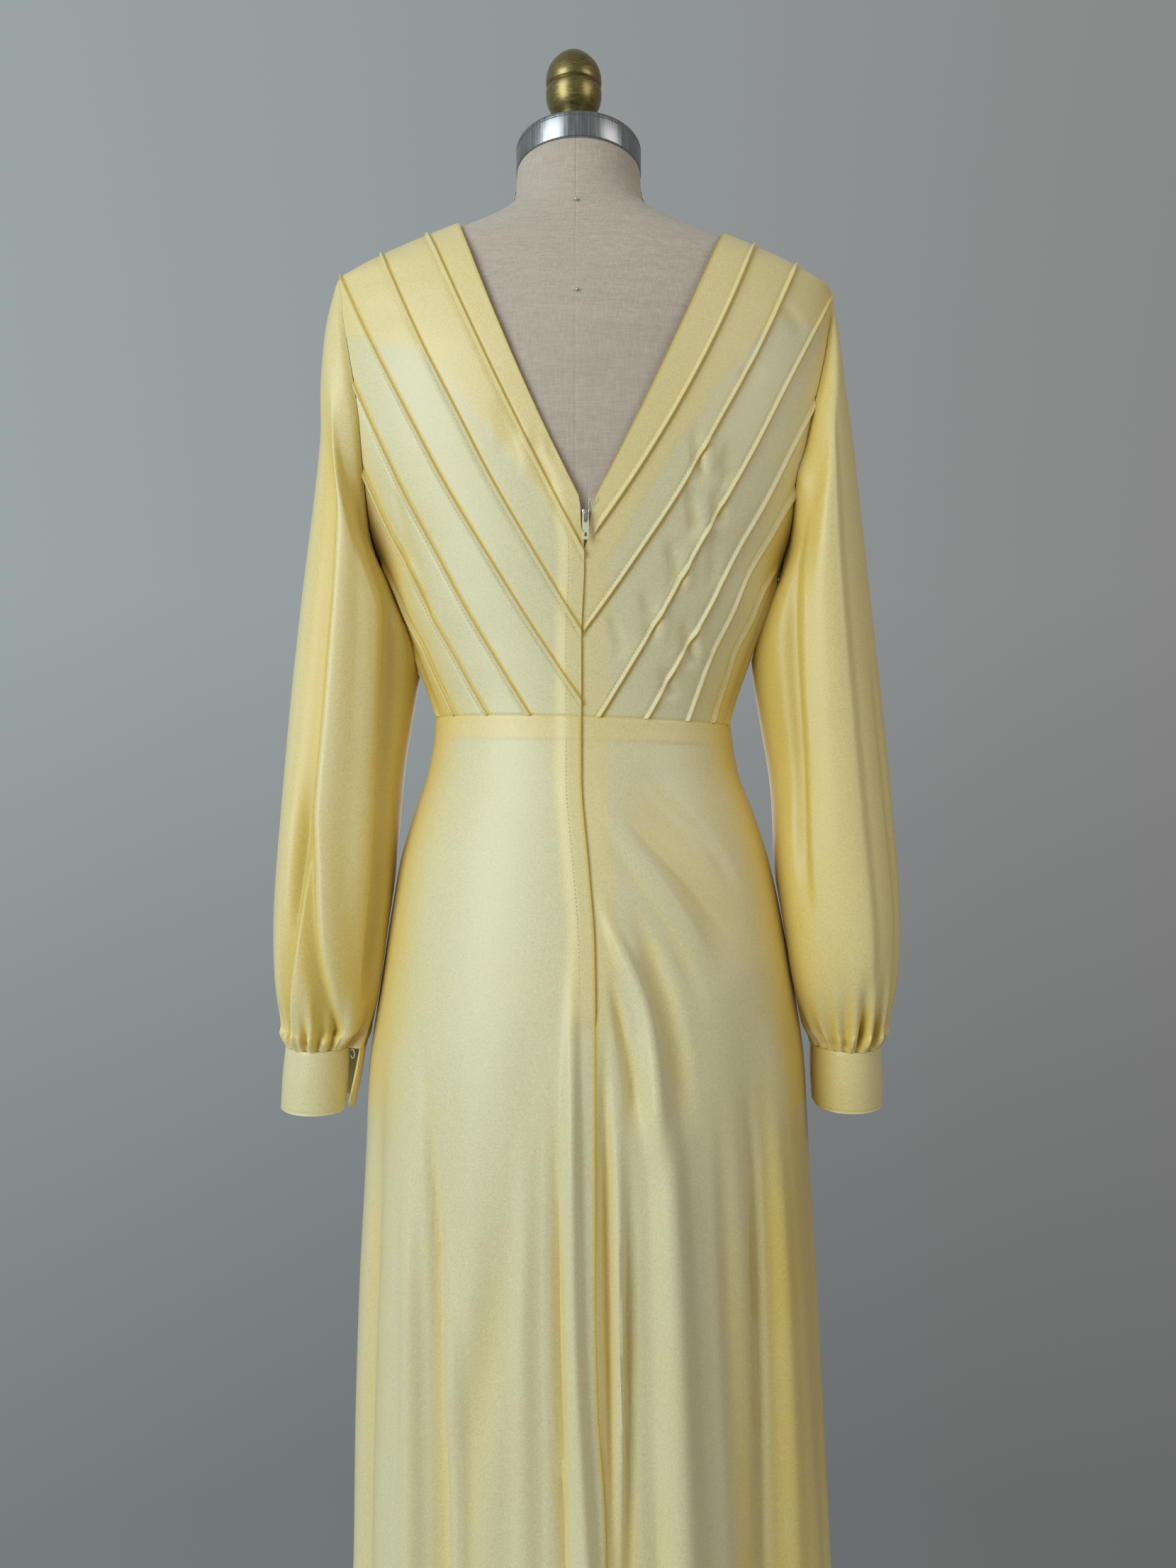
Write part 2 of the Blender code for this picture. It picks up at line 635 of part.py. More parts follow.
def loft(name, rings, material):
    """Closed solid through rings of points, with a fan at each end."""
    rows, columns = rings.shape[:2]
    points = np.concatenate((rings.reshape(-1, 3), rings[:1].mean(axis=1), rings[-1:].mean(axis=1)))
    index = np.arange(rows * columns).reshape(rows, columns)
    index = np.concatenate((index, index[:, :1]), axis=1)
    quads = np.stack((index[:-1, :-1], index[:-1, 1:], index[1:, 1:], index[1:, :-1]), axis=-1)
    faces = quads.reshape(-1, 4).tolist()
    first = rows * columns
    faces.extend([first, b, a] for a, b in zip(index[0, :-1].tolist(), index[0, 1:].tolist()))
    faces.extend([first + 1, a, b] for a, b in zip(index[-1, :-1].tolist(), index[-1, 1:].tolist()))
    return make_object(name, points, faces, material)


def circle(radius_x, radius_y, height, segments, tilt=0.0, centre=(0.0, 0.0)):
    """Ring of points in plan, which climbs by tilt towards the back."""
    turn = np.arange(segments) * 2.0 * math.pi / segments
    x = centre[0] + radius_x * np.cos(turn)
    y = centre[1] + radius_y * np.sin(turn)
    return np.stack((x, y, height + tilt * y), axis=-1)


def turned(name, profile, segments, material):
    """Closed solid turned about the vertical axis, from rows of radius and height."""
    return loft(name, np.array([circle(r, r, h, segments) for r, h in profile]), material)


def line_end(side, line):
    """Outward x and height of a line's lower end, on the centre edge, the corner or the waist."""
    sign = SIGN[side]
    if line["ends_on"] == "waist":
        return line["foot"], float(waist_height(sign * line["foot"]))
    height = line["foot"]
    if line["ends_on"] == "corner":
        height = float(waist_height(free_edge(side, WAIST_HEIGHT)))
    return sign * float(free_edge(side, height)), height


def along_line(side, number, steps):
    """Outward x and height of a line of a back bodice, at shares of its length."""
    line = dict(zip(LINE_COLUMNS, LINE_ROWS[side][number]))
    top = line["top"]
    on_shoulder = top >= ARMHOLE_ROWS[side][-1][0]
    top_x = body("half_width", top) if on_shoulder else armhole_x(side, "back_x", top)
    end_x, end_z = line_end(side, line)
    run = np.array((end_x - top_x, end_z - top))
    outward = np.array((-run[1], run[0])) / np.hypot(*run)
    swell = line["bow"] * 4.0 * steps * (1.0 - steps)
    phase = 2.0 * math.pi * (LINE_WAVES * steps + LINE_PHASE * number)
    swell = swell + line["wave"] * np.sin(phase) * bump(2.0 * steps - 1.0)
    return top_x + run[0] * steps + outward[0] * swell, top + run[1] * steps + outward[1] * swell


def line_steps(side, number):
    """Shares of a line's length that get points; the last but one follow the marks by the edge."""
    sign = SIGN[side]
    fine = np.linspace(0.0, 1.0, 401)
    x, z = along_line(side, number, fine)
    from_edge = x - sign * free_edge(side, z)
    first, second = EDGE_MARKS[side]
    if LINE_ROWS[side][number][LINE_COLUMNS.index("ends_on")] == "waist":
        first = max(first, from_edge[-1] + WAIST_MARK)
        second = max(second, 0.5 * (first + from_edge[-1]))
    marks = np.interp((-first, -second), -from_edge, fine)
    return np.concatenate((np.array(LINE_STEPS) * marks[0], marks, (1.0,)))


def line_curves(side):
    """Each line of a back bodice as x, height and the share of a tuck's height it gets."""
    sign = SIGN[side]
    curves = []
    for number, row in enumerate(LINE_ROWS[side]):
        line = dict(zip(LINE_COLUMNS, row))
        steps = line_steps(side, number)
        x, z = along_line(side, number, steps)
        height = np.full(len(steps), float(line["raised"]))
        if side == "right" and line["ends_on"] == "centre":
            height[-2:] = 0.0
        if line["top"] < ARMHOLE_ROWS[side][0][0] + UNDERARM_PLAIN:
            height *= ease((steps - UNDERARM_START) / UNDERARM_START)
        curves.append((sign * x, z, height))
    underarm = ARMHOLE_ROWS[side][0][0]
    steps = np.concatenate((np.array(LINE_STEPS) * SIDE_MARKS[0], SIDE_MARKS, (1.0,)))
    side_x = float(body("half_width", WAIST_HEIGHT))
    z = underarm + (float(waist_height(sign * side_x)) - underarm) * steps
    x = body("centre_x", z) + sign * body("half_width", z)
    curves.append((x, z, np.zeros(len(steps))))
    return curves


def share_towards(here, there):
    """Share of the way from one line's points to the next one's that makes a tuck's half width."""
    point = body_face(back_angle(here[0], here[1]), here[1])
    along = unit(np.gradient(point, axis=0))
    apart = body_face(back_angle(there[0], there[1]), there[1]) - point
    across = apart - along * np.sum(apart * along, axis=-1, keepdims=True)
    return np.minimum(TUCK_HALF_WIDTH / np.linalg.norm(across, axis=-1), MOST_OF_GAP)


def blend(here, there, share):
    """Plain column of points on the way from one line to the next."""
    x = here[0] + (there[0] - here[0]) * share
    z = here[1] + (there[1] - here[1]) * share
    return x, z, np.zeros(len(x))


def back_grid(side):
    """Grid of a back bodice: x, height and share of a tuck's height, one column for each line."""
    curves = line_curves(side)
    columns = []
    for number, here in enumerate(curves):
        raised = here[2].any()
        if raised:
            before = curves[number - 1]
            columns.append(blend(here, before, share_towards(here, before)))
        columns.append(here)
        if number + 1 == len(curves):
            break
        after = curves[number + 1]
        if raised:
            columns.append(blend(here, after, share_towards(here, after)))
        if np.hypot(here[0][-1] - after[0][-1], here[1][-1] - after[1][-1]) > FAR_APART:
            columns.append(blend(here, after, 0.5))
    x, z, raised = (np.array([column[i] for column in columns]).T for i in range(3))
    sign = SIGN[side]
    tip = ARMHOLE_ROWS[side][-1][0]
    top_x = sign * np.where(z[0] >= tip, body("half_width", z[0]), armhole_x(side, "back_x", z[0]))
    fade = np.clip(1.0 - np.array(LINE_STEPS) / EDGE_FADE, 0.0, 1.0)
    x[:len(fade)] += fade[:, None] * (top_x - x[0])
    floor_z = waist_height(x[-1]) + 0.5 * SEAM_GAP
    on_waist = z[-1] <= floor_z + NEAR_WAIST
    z[-1] = np.where(on_waist, floor_z, z[-1])
    by_edge = np.abs(x[-1] - free_edge(side, z[-1])) <= NEAR_EDGE
    x[-1] = np.where(on_waist & ~by_edge, x[-1], free_edge(side, z[-1]))
    return x, z, raised


def back_bodice(side, material):
    """Back bodice with its raised pintucks, from the shoulder and armhole to the waist and zip."""
    x, z, raised = back_grid(side)
    angle = back_angle(x, z)
    face = body_face(angle, z)
    normal = body_normal(angle, z)
    lift = lap_lift(x, z)[..., None] if side == "left" else 0.0
    outer = face + normal * (lift + TUCK_HEIGHT * raised[..., None])
    inner = face + normal * (lift - WALL)
    return wall("bodice_back_" + side, outer, inner, material)


def front_side(side, round_armhole):
    """Outward x and height of the front bodice's edge, from the waist up to the shoulder tip."""
    underarm = ARMHOLE_ROWS[side][0][0]
    tip = ARMHOLE_ROWS[side][-1][0]
    side_x = float(body("half_width", WAIST_HEIGHT))
    foot = float(waist_height(SIGN[side] * side_x)) + 0.5 * SEAM_GAP
    low = foot + np.array(FRONT_LOW_ROWS)
    high = underarm + (tip - underarm) * (0.5 - 0.5 * np.cos(np.radians(round_armhole)))
    on_side = body("half_width", low) + SIGN[side] * body("centre_x", low)
    x = np.concatenate((on_side, armhole_x(side, "front_x", high)))
    return x, np.concatenate((low, high))


def front_grid():
    """Grid of the front bodice: x and height, from the waist to the shoulders and the neckline."""
    left_x, left_z = front_side("left", FRONT_ARMHOLE_ROWS)
    right_x, right_z = front_side("right", FRONT_ARMHOLE_ROWS)
    neck = {side: LINE_ROWS[side][0][1] for side in SIGN}
    neck_x = {side: float(body("half_width", neck[side])) for side in SIGN}
    top_x = np.concatenate((
        -right_x[-1] + (right_x[-1] - neck_x["right"]) * FRONT_SHOULDER_SHARES,
        -neck_x["right"] + (neck_x["left"] + neck_x["right"]) * FRONT_NECK_SHARES,
        left_x[-1] + (neck_x["left"] - left_x[-1]) * FRONT_SHOULDER_SHARES[::-1],
    ))
    share = (top_x + right_x[-1]) / (left_x[-1] + right_x[-1])
    x = -right_x[:, None] * (1.0 - share) + left_x[:, None] * share
    ladder = np.linspace(right_z[-1], BODY["height"][-1], 200)
    widths = body("half_width", ladder)
    ridge = np.interp(np.abs(top_x), widths[::-1], ladder[::-1])
    across = (top_x + neck_x["right"]) / (neck_x["left"] + neck_x["right"])
    scoop = FRONT_NECK_DEPTH * np.clip(1.0 - (2.0 * across - 1.0) ** 2, 0.0, 1.0)
    level = neck["right"] + (neck["left"] - neck["right"]) * across
    top_z = np.where((across > 0.001) & (across < 0.999), level - scoop, ridge)
    foot_z = waist_height(x[0]) + 0.5 * SEAM_GAP
    right_rise = (right_z - right_z[0]) / (right_z[-1] - right_z[0])
    left_rise = (left_z - left_z[0]) / (left_z[-1] - left_z[0])
    rise = right_rise[:, None] * (1.0 - share) + left_rise[:, None] * share
    return x, foot_z + (top_z - foot_z) * rise


def front_bodice(material):
    """Plain front bodice: a low round neckline between the shoulders, down to the waist."""
    x, z = front_grid()
    angle = front_angle(x, z)
    face = body_face(angle, z)
    normal = body_normal(angle, z)
    return wall("bodice_front", face, face - normal * WALL, material)


def skirt_rows(marks, columns):
    """Heights down a skirt panel, a column for each angle; the first row follows the waist seam."""
    return np.repeat(np.array((WAIST_HEIGHT, *marks))[:, None], columns, axis=1)


def level_waist(z, x):
    """Put the first row of a skirt panel just under the waist seam."""
    z[0] = waist_height(x[0]) - 0.5 * SEAM_GAP
    return z


def skirt_back(side, material):
    """Back skirt panel from the centre back to the side seam."""
    sign = SIGN[side]
    near = np.array(SKIRT_NEAR_COLUMNS[side])
    even = np.linspace(0.0, 1.0, SKIRT_BACK_COLUMNS)[1:]
    z = skirt_rows(SKIRT_BACK_MARKS, len(near) + len(even))
    for _ in range(2):
        near_x = free_edge(side, z[:, :len(near)]) + sign * near
        near_angle = back_angle(near_x, z[:, :len(near)])
        limit = sign * (math.pi / 2 - 0.5 * SEAM_GAP / body("back", z[:, -1:]))
        far_angle = near_angle[:, -1:] + (limit - near_angle[:, -1:]) * even
        angle = np.concatenate((near_angle, far_angle), axis=1)
        face = body_face(angle, z)
        z = level_waist(z, face[..., 0])
    face = body_face(angle, z)
    normal = body_normal(angle, z)
    lift = lap_lift(face[..., 0], z)[..., None] if side == "left" else 0.0
    return wall("skirt_back_" + side, face + normal * lift, face + normal * (lift - WALL), material)


def skirt_front(material):
    """Front skirt panel from side seam to side seam."""
    share = np.linspace(0.0, 1.0, SKIRT_FRONT_COLUMNS)
    z = skirt_rows(SKIRT_FRONT_MARKS, len(share))
    limit = 0.5 * SEAM_GAP / body("front", z)
    angle = math.pi / 2 + limit + (math.pi - 2.0 * limit) * share
    z = level_waist(z, body_face(angle, z)[..., 0])
    face = body_face(angle, z)
    normal = body_normal(angle, z)
    return wall("skirt_front", face, face - normal * WALL, material)


def armhole_loop(side, turn):
    """Ring just inside an armhole's sewn edges, from the shoulder tip by way of the back.

    Gives the points, the body's normals, the directions into the hole and how near a point is to
    the shoulder tip, as 0 to 1.
    """
    sign = SIGN[side]
    underarm = ARMHOLE_ROWS[side][0][0]
    tip = ARMHOLE_ROWS[side][-1][0]
    z = 0.5 * (tip + underarm) + 0.5 * (tip - underarm) * np.cos(turn)
    back_x, back_z = (grid[0] for grid in back_grid(side)[:2])
    front_x, front_z = (grid[:, -1 if side == "left" else 0] for grid in front_grid())
    back_edge = body_face(back_angle(back_x, back_z), back_z)[back_z <= tip + 1e-6]
    front_edge = body_face(front_angle(front_x, front_z), front_z)[front_z >= underarm - 1e-6]
    on_back = np.sin(turn) >= 0
    ring = np.stack((z, z, z), axis=-1)
    for axis in (0, 1):
        at_back = np.interp(z, back_edge[::-1, 2], back_edge[::-1, axis])
        at_front = np.interp(z, front_edge[:, 2], front_edge[:, axis])
        ring[:, axis] = np.where(on_back, at_back, at_front)
    angle = np.where(on_back, back_angle(ring[:, 0], z), front_angle(ring[:, 0], z))
    normal = body_normal(angle, z)
    along = np.roll(ring, -1, axis=0) - np.roll(ring, 1, axis=0)
    into_hole = unit(np.cross(along, normal)) * sign
    from_underarm = ease((z - underarm) / UNDERARM_SPAN)[:, None]
    ring += into_hole * ARMHOLE_GAP + normal * UNDERARM_LIFT * (1.0 - from_underarm)
    near_tip = ease((z - tip + TIP_SPAN) / TIP_SPAN)[:, None]
    return ring, normal, into_hole, near_tip


def cuff_ring(side, turn, height_share, rise=0.0):
    """Points of a cuff in plan, from its outer side by way of the back; height_share 0 is the top."""
    sign = SIGN[side]
    cuff = CUFFS[side]
    shift = cuff["lower_shift"] * height_share
    x = cuff["centre"][0] + shift + (cuff["half"][0] + rise) * np.cos(turn)
    y = cuff["centre"][1] + (cuff["half"][1] + rise) * np.sin(turn)
    z = cuff["top"] - cuff["height"] * height_share + 0.0 * x
    return np.stack((sign * x, y, z), axis=-1)


def sleeve_rise(side, degrees, rows):
    """How far a sleeve's long folds and its gathers at the cap and the cuff stand out."""
    level = np.arange(rows)[:, None]
    rise = np.zeros((rows, len(degrees)))
    for angle, depth, half_width, first_row, last_row in SLEEVE_FOLD_ROWS[side]:
        offset = (degrees - angle + 180.0) % 360.0 - 180.0
        run = ease((level - first_row) / 2.0) * ease((last_row - level) / 2.0)
        rise += depth * run * bump(offset / half_width)
    turn = np.radians(degrees)
    from_tip = (degrees + 180.0) % 360.0 - 180.0
    rise += CAP_GATHER_DEPTH * np.cos(CAP_GATHERS * turn) * bump(from_tip / CAP_GATHER_ARC) * (level == 1)
    gather = np.zeros((rows, 1))
    gather[-len(CUFF_GATHER_SHARES):, 0] = CUFF_GATHER_SHARES
    return rise + CUFF_GATHER_DEPTH * np.cos(CUFF_GATHERS * turn) * gather


def sleeve(side, material):
    """Bishop sleeve: from the armhole through slanted ellipses to the gathers at the cuff."""
    sign = SIGN[side]
    turn = np.arange(SLEEVE_SEGMENTS) * 2.0 * math.pi / SLEEVE_SEGMENTS
    seam, seam_normal, into_hole, near_tip = armhole_loop(side, turn)
    rings = []
    outward = []
    for outer_x, outer_z, inner_x, inner_z, back, front in SLEEVE_ROWS[side]:
        middle = 0.5 * np.array((outer_x + inner_x, back - front, outer_z + inner_z))
        across = 0.5 * np.array((outer_x - inner_x, 0.0, outer_z - inner_z))
        ring = middle + np.cos(turn)[:, None] * across
        ring[:, 1] += 0.5 * (back + front) * np.sin(turn)
        ring[:, 0] *= sign
        rings.append(ring)
        outward.append(unit(ring - ring.mean(axis=0)))
    from_inner = (0.5 + 0.5 * np.cos(turn))[:, None]
    first = seam + FIRST_RING_SHARE * (rings[0] - seam) + outward[0] * CAP_PUFF * from_inner
    last = cuff_ring(side, turn, 0.0)
    last[:, 2] += SEAM_GAP
    puff = CUFF_PUFF * (CUFF_PUFF_INNER + (1.0 - CUFF_PUFF_INNER) * from_inner)
    near_last = 0.5 * (last + rings[-1]) + outward[-1] * puff
    grid = np.array((seam, first, *rings, near_last, last))
    away = np.array((outward[0], outward[0], *outward, outward[-1], outward[-1]))
    outer = grid + away * sleeve_rise(side, np.degrees(turn), len(grid))[..., None]
    down = np.gradient(outer, axis=0)
    round_arm = np.roll(outer, -1, axis=1) - np.roll(outer, 1, axis=1)
    normal = unit(np.cross(down, round_arm)) * sign
    edge_normal = normal[0] * (1.0 - near_tip) + seam_normal * near_tip
    towards_panel = np.sum(edge_normal * into_hole, axis=-1, keepdims=True)
    normal[0] = unit(edge_normal - into_hole * np.maximum(towards_panel, 0.0))
    return wall("sleeve_" + side, outer, outer - normal * WALL, material, closed=True)


def cuff(side, material):
    """Cuff as an open strip; its far end stands away on the left and lies under on the right."""
    shape = CUFFS[side]
    degrees = np.linspace(shape["first_angle"], shape["last_angle"], CUFF_SEGMENTS + 1)
    turn = np.radians(degrees)
    from_end = (degrees - shape["last_angle"]) / CUFF_END_ARC
    outer = []
    inner = []
    for height_share in (0.0, 0.5, 1.0):
        rise = shape["end_rise"] * (1.0 - ease(from_end))
        if shape["end_rise"] > 0:
            rise = rise * (1.0 - CUFF_END_TAPER * height_share)
        outer.append(cuff_ring(side, turn, height_share, rise))
        inner.append(cuff_ring(side, turn, height_share, rise - CUFF_WALL))
    return wall("cuff_" + side, np.array(outer), np.array(inner), material)


def zip_chain(material):
    """Zip tape with its closed row of teeth, one narrow strip inside the cloth."""
    top = SLIDER_HEIGHT + 0.5 * SLIDER_SIZE[2]
    z = np.linspace(top, CHAIN_END_HEIGHT, CHAIN_ROWS)[:, None]
    teeth = TEETH_HALF_WIDTH
    foot = teeth + TEETH_SLOPE
    across = np.array((-TAPE_HALF_WIDTH, -foot, -teeth, teeth, foot, TAPE_HALF_WIDTH))
    rise = np.array((0.0, 0.0, 1.0, 1.0, 0.0, 0.0))[None, :, None]
    low_bend, high_bend = CHAIN_BEND
    to_slider = ease((z - low_bend) / (high_bend - low_bend))
    under_lap = left_edge(z) + CHAIN_FROM_EDGE
    x = under_lap + (SLIDER_X - under_lap) * to_slider + across
    z = z + 0.0 * x
    angle = back_angle(x, z)
    normal = body_normal(angle, z)
    high = body_face(angle, z) - normal * CHAIN_DEPTH
    return wall("zip_chain", high + normal * TEETH_RISE * rise, high - normal * TAPE_THICKNESS, material)


def add_box(name, size, place, material):
    """Closed box of a size about its middle, at a place."""
    mesh = bpy.data.meshes.new(name)
    shape = bmesh.new()
    bmesh.ops.create_cube(shape, size=1.0)
    bmesh.ops.scale(shape, vec=size, verts=shape.verts)
    bmesh.ops.translate(shape, vec=place, verts=shape.verts)
    shape.to_mesh(mesh)
    shape.free()
    mesh.materials.append(material)
    item = bpy.data.objects.new(name, mesh)
    bpy.context.scene.collection.objects.link(item)
    return item


def combine(item, tool, operation):
    """Join a hidden tool to an object, or cut it out, with the exact solver."""
    tool.hide_render = True
    tool.display_type = "WIRE"
    change = item.modifiers.new(operation.title(), "BOOLEAN")
    change.operation = operation
    change.solver = "EXACT"
    change.object = tool


def slider_face_y():
    """y of the dress's outer face behind the slider."""
    angle = back_angle(np.array(SLIDER_X), np.array(SLIDER_HEIGHT))
    return float(body_face(angle, np.array(SLIDER_HEIGHT))[..., 1])


def zip_slider(material):
    """Slider body with the bridge that the pull hangs on."""
    depth = SLIDER_SIZE[1]
    back = slider_face_y() - SLIDER_DEPTH_IN_CLOTH
    place = (SLIDER_X, back + 0.5 * depth, SLIDER_HEIGHT)
    item = add_box("zip_slider", SLIDER_SIZE, place, material)
    bevel = item.modifiers.new("Bevel", "BEVEL")
    bevel.width = SLIDER_BEVEL
    bevel.segments = 2
    front = back + depth
    bar = BRIDGE_BAR
    play_back, play_up = BRIDGE_PLAY
    top = slider_face_y() + PULL_RISE + play_back
    leg = (BRIDGE_WIDTH, top + bar - front + BRIDGE_ROOT, bar)
    middle_y = 0.5 * (front - BRIDGE_ROOT + top + bar)
    upper = HINGE_HEIGHT + 0.5 * PULL_BAR + play_up + 0.5 * bar
    lower = HINGE_HEIGHT - BRIDGE_LOW_LEG
    combine(item, add_box("bridge_top_leg", leg, (SLIDER_X, middle_y, upper), material), "UNION")
    combine(item, add_box("bridge_low_leg", leg, (SLIDER_X, middle_y, lower), material), "UNION")
    span = (BRIDGE_WIDTH, bar, upper - lower + bar)
    middle = (SLIDER_X, top + 0.5 * bar, 0.5 * (upper + lower))
    combine(item, add_box("bridge_span", span, middle, material), "UNION")
    return item


def zip_pull(material):
    """Pull tab that hangs from the bridge; its origin is on the hinge's axis."""
    depth, length = PULL_SIZE[1:]
    hinge = (SLIDER_X, slider_face_y() + PULL_RISE, HINGE_HEIGHT)
    middle_z = 0.5 * PULL_BAR - 0.5 * length
    item = add_box("zip_pull", PULL_SIZE, (0.0, 0.0, middle_z), material)
    item.location = hinge
    bevel = item.modifiers.new("Bevel", "BEVEL")
    bevel.width = PULL_BEVEL
    bevel.segments = 1
    through = 10.0 * depth
    for name, size, height in (
        ("bridge_hole", BRIDGE_HOLE, -BRIDGE_HOLE[2]),
        ("grip_hole", GRIP_HOLE, 0.5 * PULL_BAR - length + GRIP_HOLE[2]),
    ):
        place = (hinge[0], hinge[1], hinge[2] + height)
        combine(item, add_box(name, (size[0], through, size[1]), place, material), "DIFFERENCE")
    return item


def form_torso(material):
    """Torso and neck of the form, from the closed hip to the neck under the band."""
    turn = np.arange(FORM_SEGMENTS) * 2.0 * math.pi / FORM_SEGMENTS
    rings = []
    for height, half_width, back, front, tilt in FORM_ROWS:
        y = np.where(np.sin(turn) > 0, back, front) * np.sin(turn)
        rings.append(np.stack((half_width * np.cos(turn), y, height + tilt * y), axis=-1))
    return loft("form_torso", np.array(rings), material)


def neck_band(material):
    """Steel band with its closed top, tilted like the neck."""
    low = NECK_TOP_HEIGHT + SEAM_GAP
    rings = [
        circle(BAND_HALF_WIDTH - inset, BAND_HALF_DEPTH - inset, low + rise, BAND_SEGMENTS, BAND_TILT)
        for inset, rise in BAND_PROFILE
    ]
    return loft("neck_band", np.array(rings), material)


def finial(material):
    """Turned finial, which stands level on the tilted band; its foot is cut to the band's slope."""
    foot = NECK_TOP_HEIGHT + SEAM_GAP + BAND_HEIGHT + SEAM_GAP
    rings = []
    for radius, height in FINIAL_PROFILE:
        slope = BAND_TILT * max(0.0, 1.0 - height / FINIAL_SLOPED_PART)
        rings.append(circle(radius, radius, foot + height, FINIAL_SEGMENTS, slope, (FINIAL_X, 0.0)))
    return loft("finial", np.array(rings), material)


def build():
    """Make every piece."""
    clear_scene()
    cloth = {}
    for name in ("bodice_back_left", "bodice_back_right", "bodice_front", "skirt_back_left",
                 "skirt_back_right", "skirt_front", "sleeve_left", "sleeve_right",
                 "cuff_left", "cuff_right", "zip_chain"):
        cloth[name] = make_material(name, CLOTH_COLOUR, 0.45, 0.0)
    for side in SIGN:
        back_bodice(side, cloth["bodice_back_" + side])
        skirt_back(side, cloth["skirt_back_" + side])
        sleeve(side, cloth["sleeve_" + side])
        cuff(side, cloth["cuff_" + side])
    front_bodice(cloth["bodice_front"])
    skirt_front(cloth["skirt_front"])
    zip_chain(cloth["zip_chain"])
    zip_slider(make_material("zip_slider", BRASS_COLOUR, 0.35, 1.0))
    zip_pull(make_material("zip_pull", CLOTH_COLOUR, 0.35, 0.0))
    form_torso(make_material("form_torso", LINEN_COLOUR, 0.85, 0.0))
    neck_band(make_material("neck_band", STEEL_COLOUR, 0.30, 1.0))
    finial(make_material("finial", BRASS_COLOUR, 0.35, 0.8))
    turned("pole", POLE_PROFILE, POLE_SEGMENTS, make_material("pole", IRON_COLOUR, 0.45, 0.6))
    turned("base", BASE_PROFILE, BASE_SEGMENTS, make_material("base", IRON_COLOUR, 0.45, 0.6))


build()
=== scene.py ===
# %% [markdown]
# # A long sleeve maxi dress on a limbless dress form
#
# The dress hangs with its back towards +Y: diagonal pintucks run over the back bodice to a zip with
# a lapped edge, a waist seam carries the long skirt, and the wide sleeves are gathered into cuffs.
# Each sewn piece is a surface worked out from a few short tables, so it can be changed by its numbers.
# First the imported model is loaded. It gives the bodies that the pieces ride on. The finished dress
# has to stay inside it.

# %% Load the frame
import math

import bpy
import numpy as np
from mathutils import Matrix


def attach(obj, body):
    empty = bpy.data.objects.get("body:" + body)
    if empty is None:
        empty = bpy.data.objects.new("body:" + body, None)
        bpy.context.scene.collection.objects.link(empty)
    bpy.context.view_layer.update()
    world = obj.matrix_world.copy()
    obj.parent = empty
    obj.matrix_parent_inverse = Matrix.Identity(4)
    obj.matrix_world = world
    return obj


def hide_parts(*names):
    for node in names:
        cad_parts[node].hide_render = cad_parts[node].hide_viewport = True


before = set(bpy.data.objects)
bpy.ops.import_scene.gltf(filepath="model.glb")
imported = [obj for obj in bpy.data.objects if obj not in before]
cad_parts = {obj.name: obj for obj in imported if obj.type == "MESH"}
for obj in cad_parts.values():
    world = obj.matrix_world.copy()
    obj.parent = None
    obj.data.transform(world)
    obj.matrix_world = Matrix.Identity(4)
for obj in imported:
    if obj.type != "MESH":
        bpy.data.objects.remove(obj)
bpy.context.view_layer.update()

# %% [markdown]
# ## Curves and humps
#
# Garments are full of smooth changes between a few known sizes. A monotone cubic curve runs through
# a short table without overshooting, and a cosine hump makes soft ridges and troughs. Both take
# whole arrays, so thousands of points are read at once.

# %% Curve helpers
SIGN = {"left": 1.0, "right": -1.0}


def smooth(place, knots, values):
    """Monotone cubic through (knots, values): each tangent is the harmonic mean of its two slopes."""
    knots = np.asarray(knots, dtype=float)
    values = np.asarray(values, dtype=float)
    step = np.diff(knots)
    slope = np.diff(values) / step
    tangent = np.concatenate((slope[:1], np.zeros(len(slope) - 1), slope[-1:]))
    product = slope[:-1] * slope[1:]
    turning = product > 0
    tangent[1:-1][turning] = 2.0 * product[turning] / (slope[:-1] + slope[1:])[turning]
    place = np.clip(place, knots[0], knots[-1])
    i = np.clip(np.searchsorted(knots, place) - 1, 0, len(step) - 1)
    t = (place - knots[i]) / step[i]
    start = (1 + 2 * t) * (1 - t) ** 2 * values[i] + t * (1 - t) ** 2 * step[i] * tangent[i]
    end = t * t * (3 - 2 * t) * values[i + 1] + t * t * (t - 1) * step[i] * tangent[i + 1]
    return start + end


def through(place, rows):
    """Catmull-Rom curve through rows of points: place 2.5 is half-way from row 2 to row 3."""
    rows = np.asarray(rows, dtype=float)
    place = np.clip(np.asarray(place, dtype=float), 0.0, len(rows) - 1.0)
    i = np.minimum(place.astype(int), len(rows) - 2)
    t = (place - i).reshape((-1,) + (1,) * (rows.ndim - 1))
    padded = np.concatenate((2 * rows[:1] - rows[1:2], rows, 2 * rows[-1:] - rows[-2:-1]))
    a, b, c, d = padded[i], padded[i + 1], padded[i + 2], padded[i + 3]
    return b + 0.5 * t * (c - a + t * (2 * a - 5 * b + 4 * c - d + t * (3 * (b - c) + d - a)))


def ease(value):
    """Cubic step: 3 t squared minus 2 t cubed, from 0 to 1 with level ends."""
    t = np.clip(value, 0.0, 1.0)
    return t * t * (3.0 - 2.0 * t)


def bump(offset):
    """Soft hump: half of 1 plus the cosine of pi t, which is 1 at 0 and 0 from offset 1 on."""
    return 0.5 + 0.5 * np.cos(math.pi * np.clip(np.abs(offset), 0.0, 1.0))


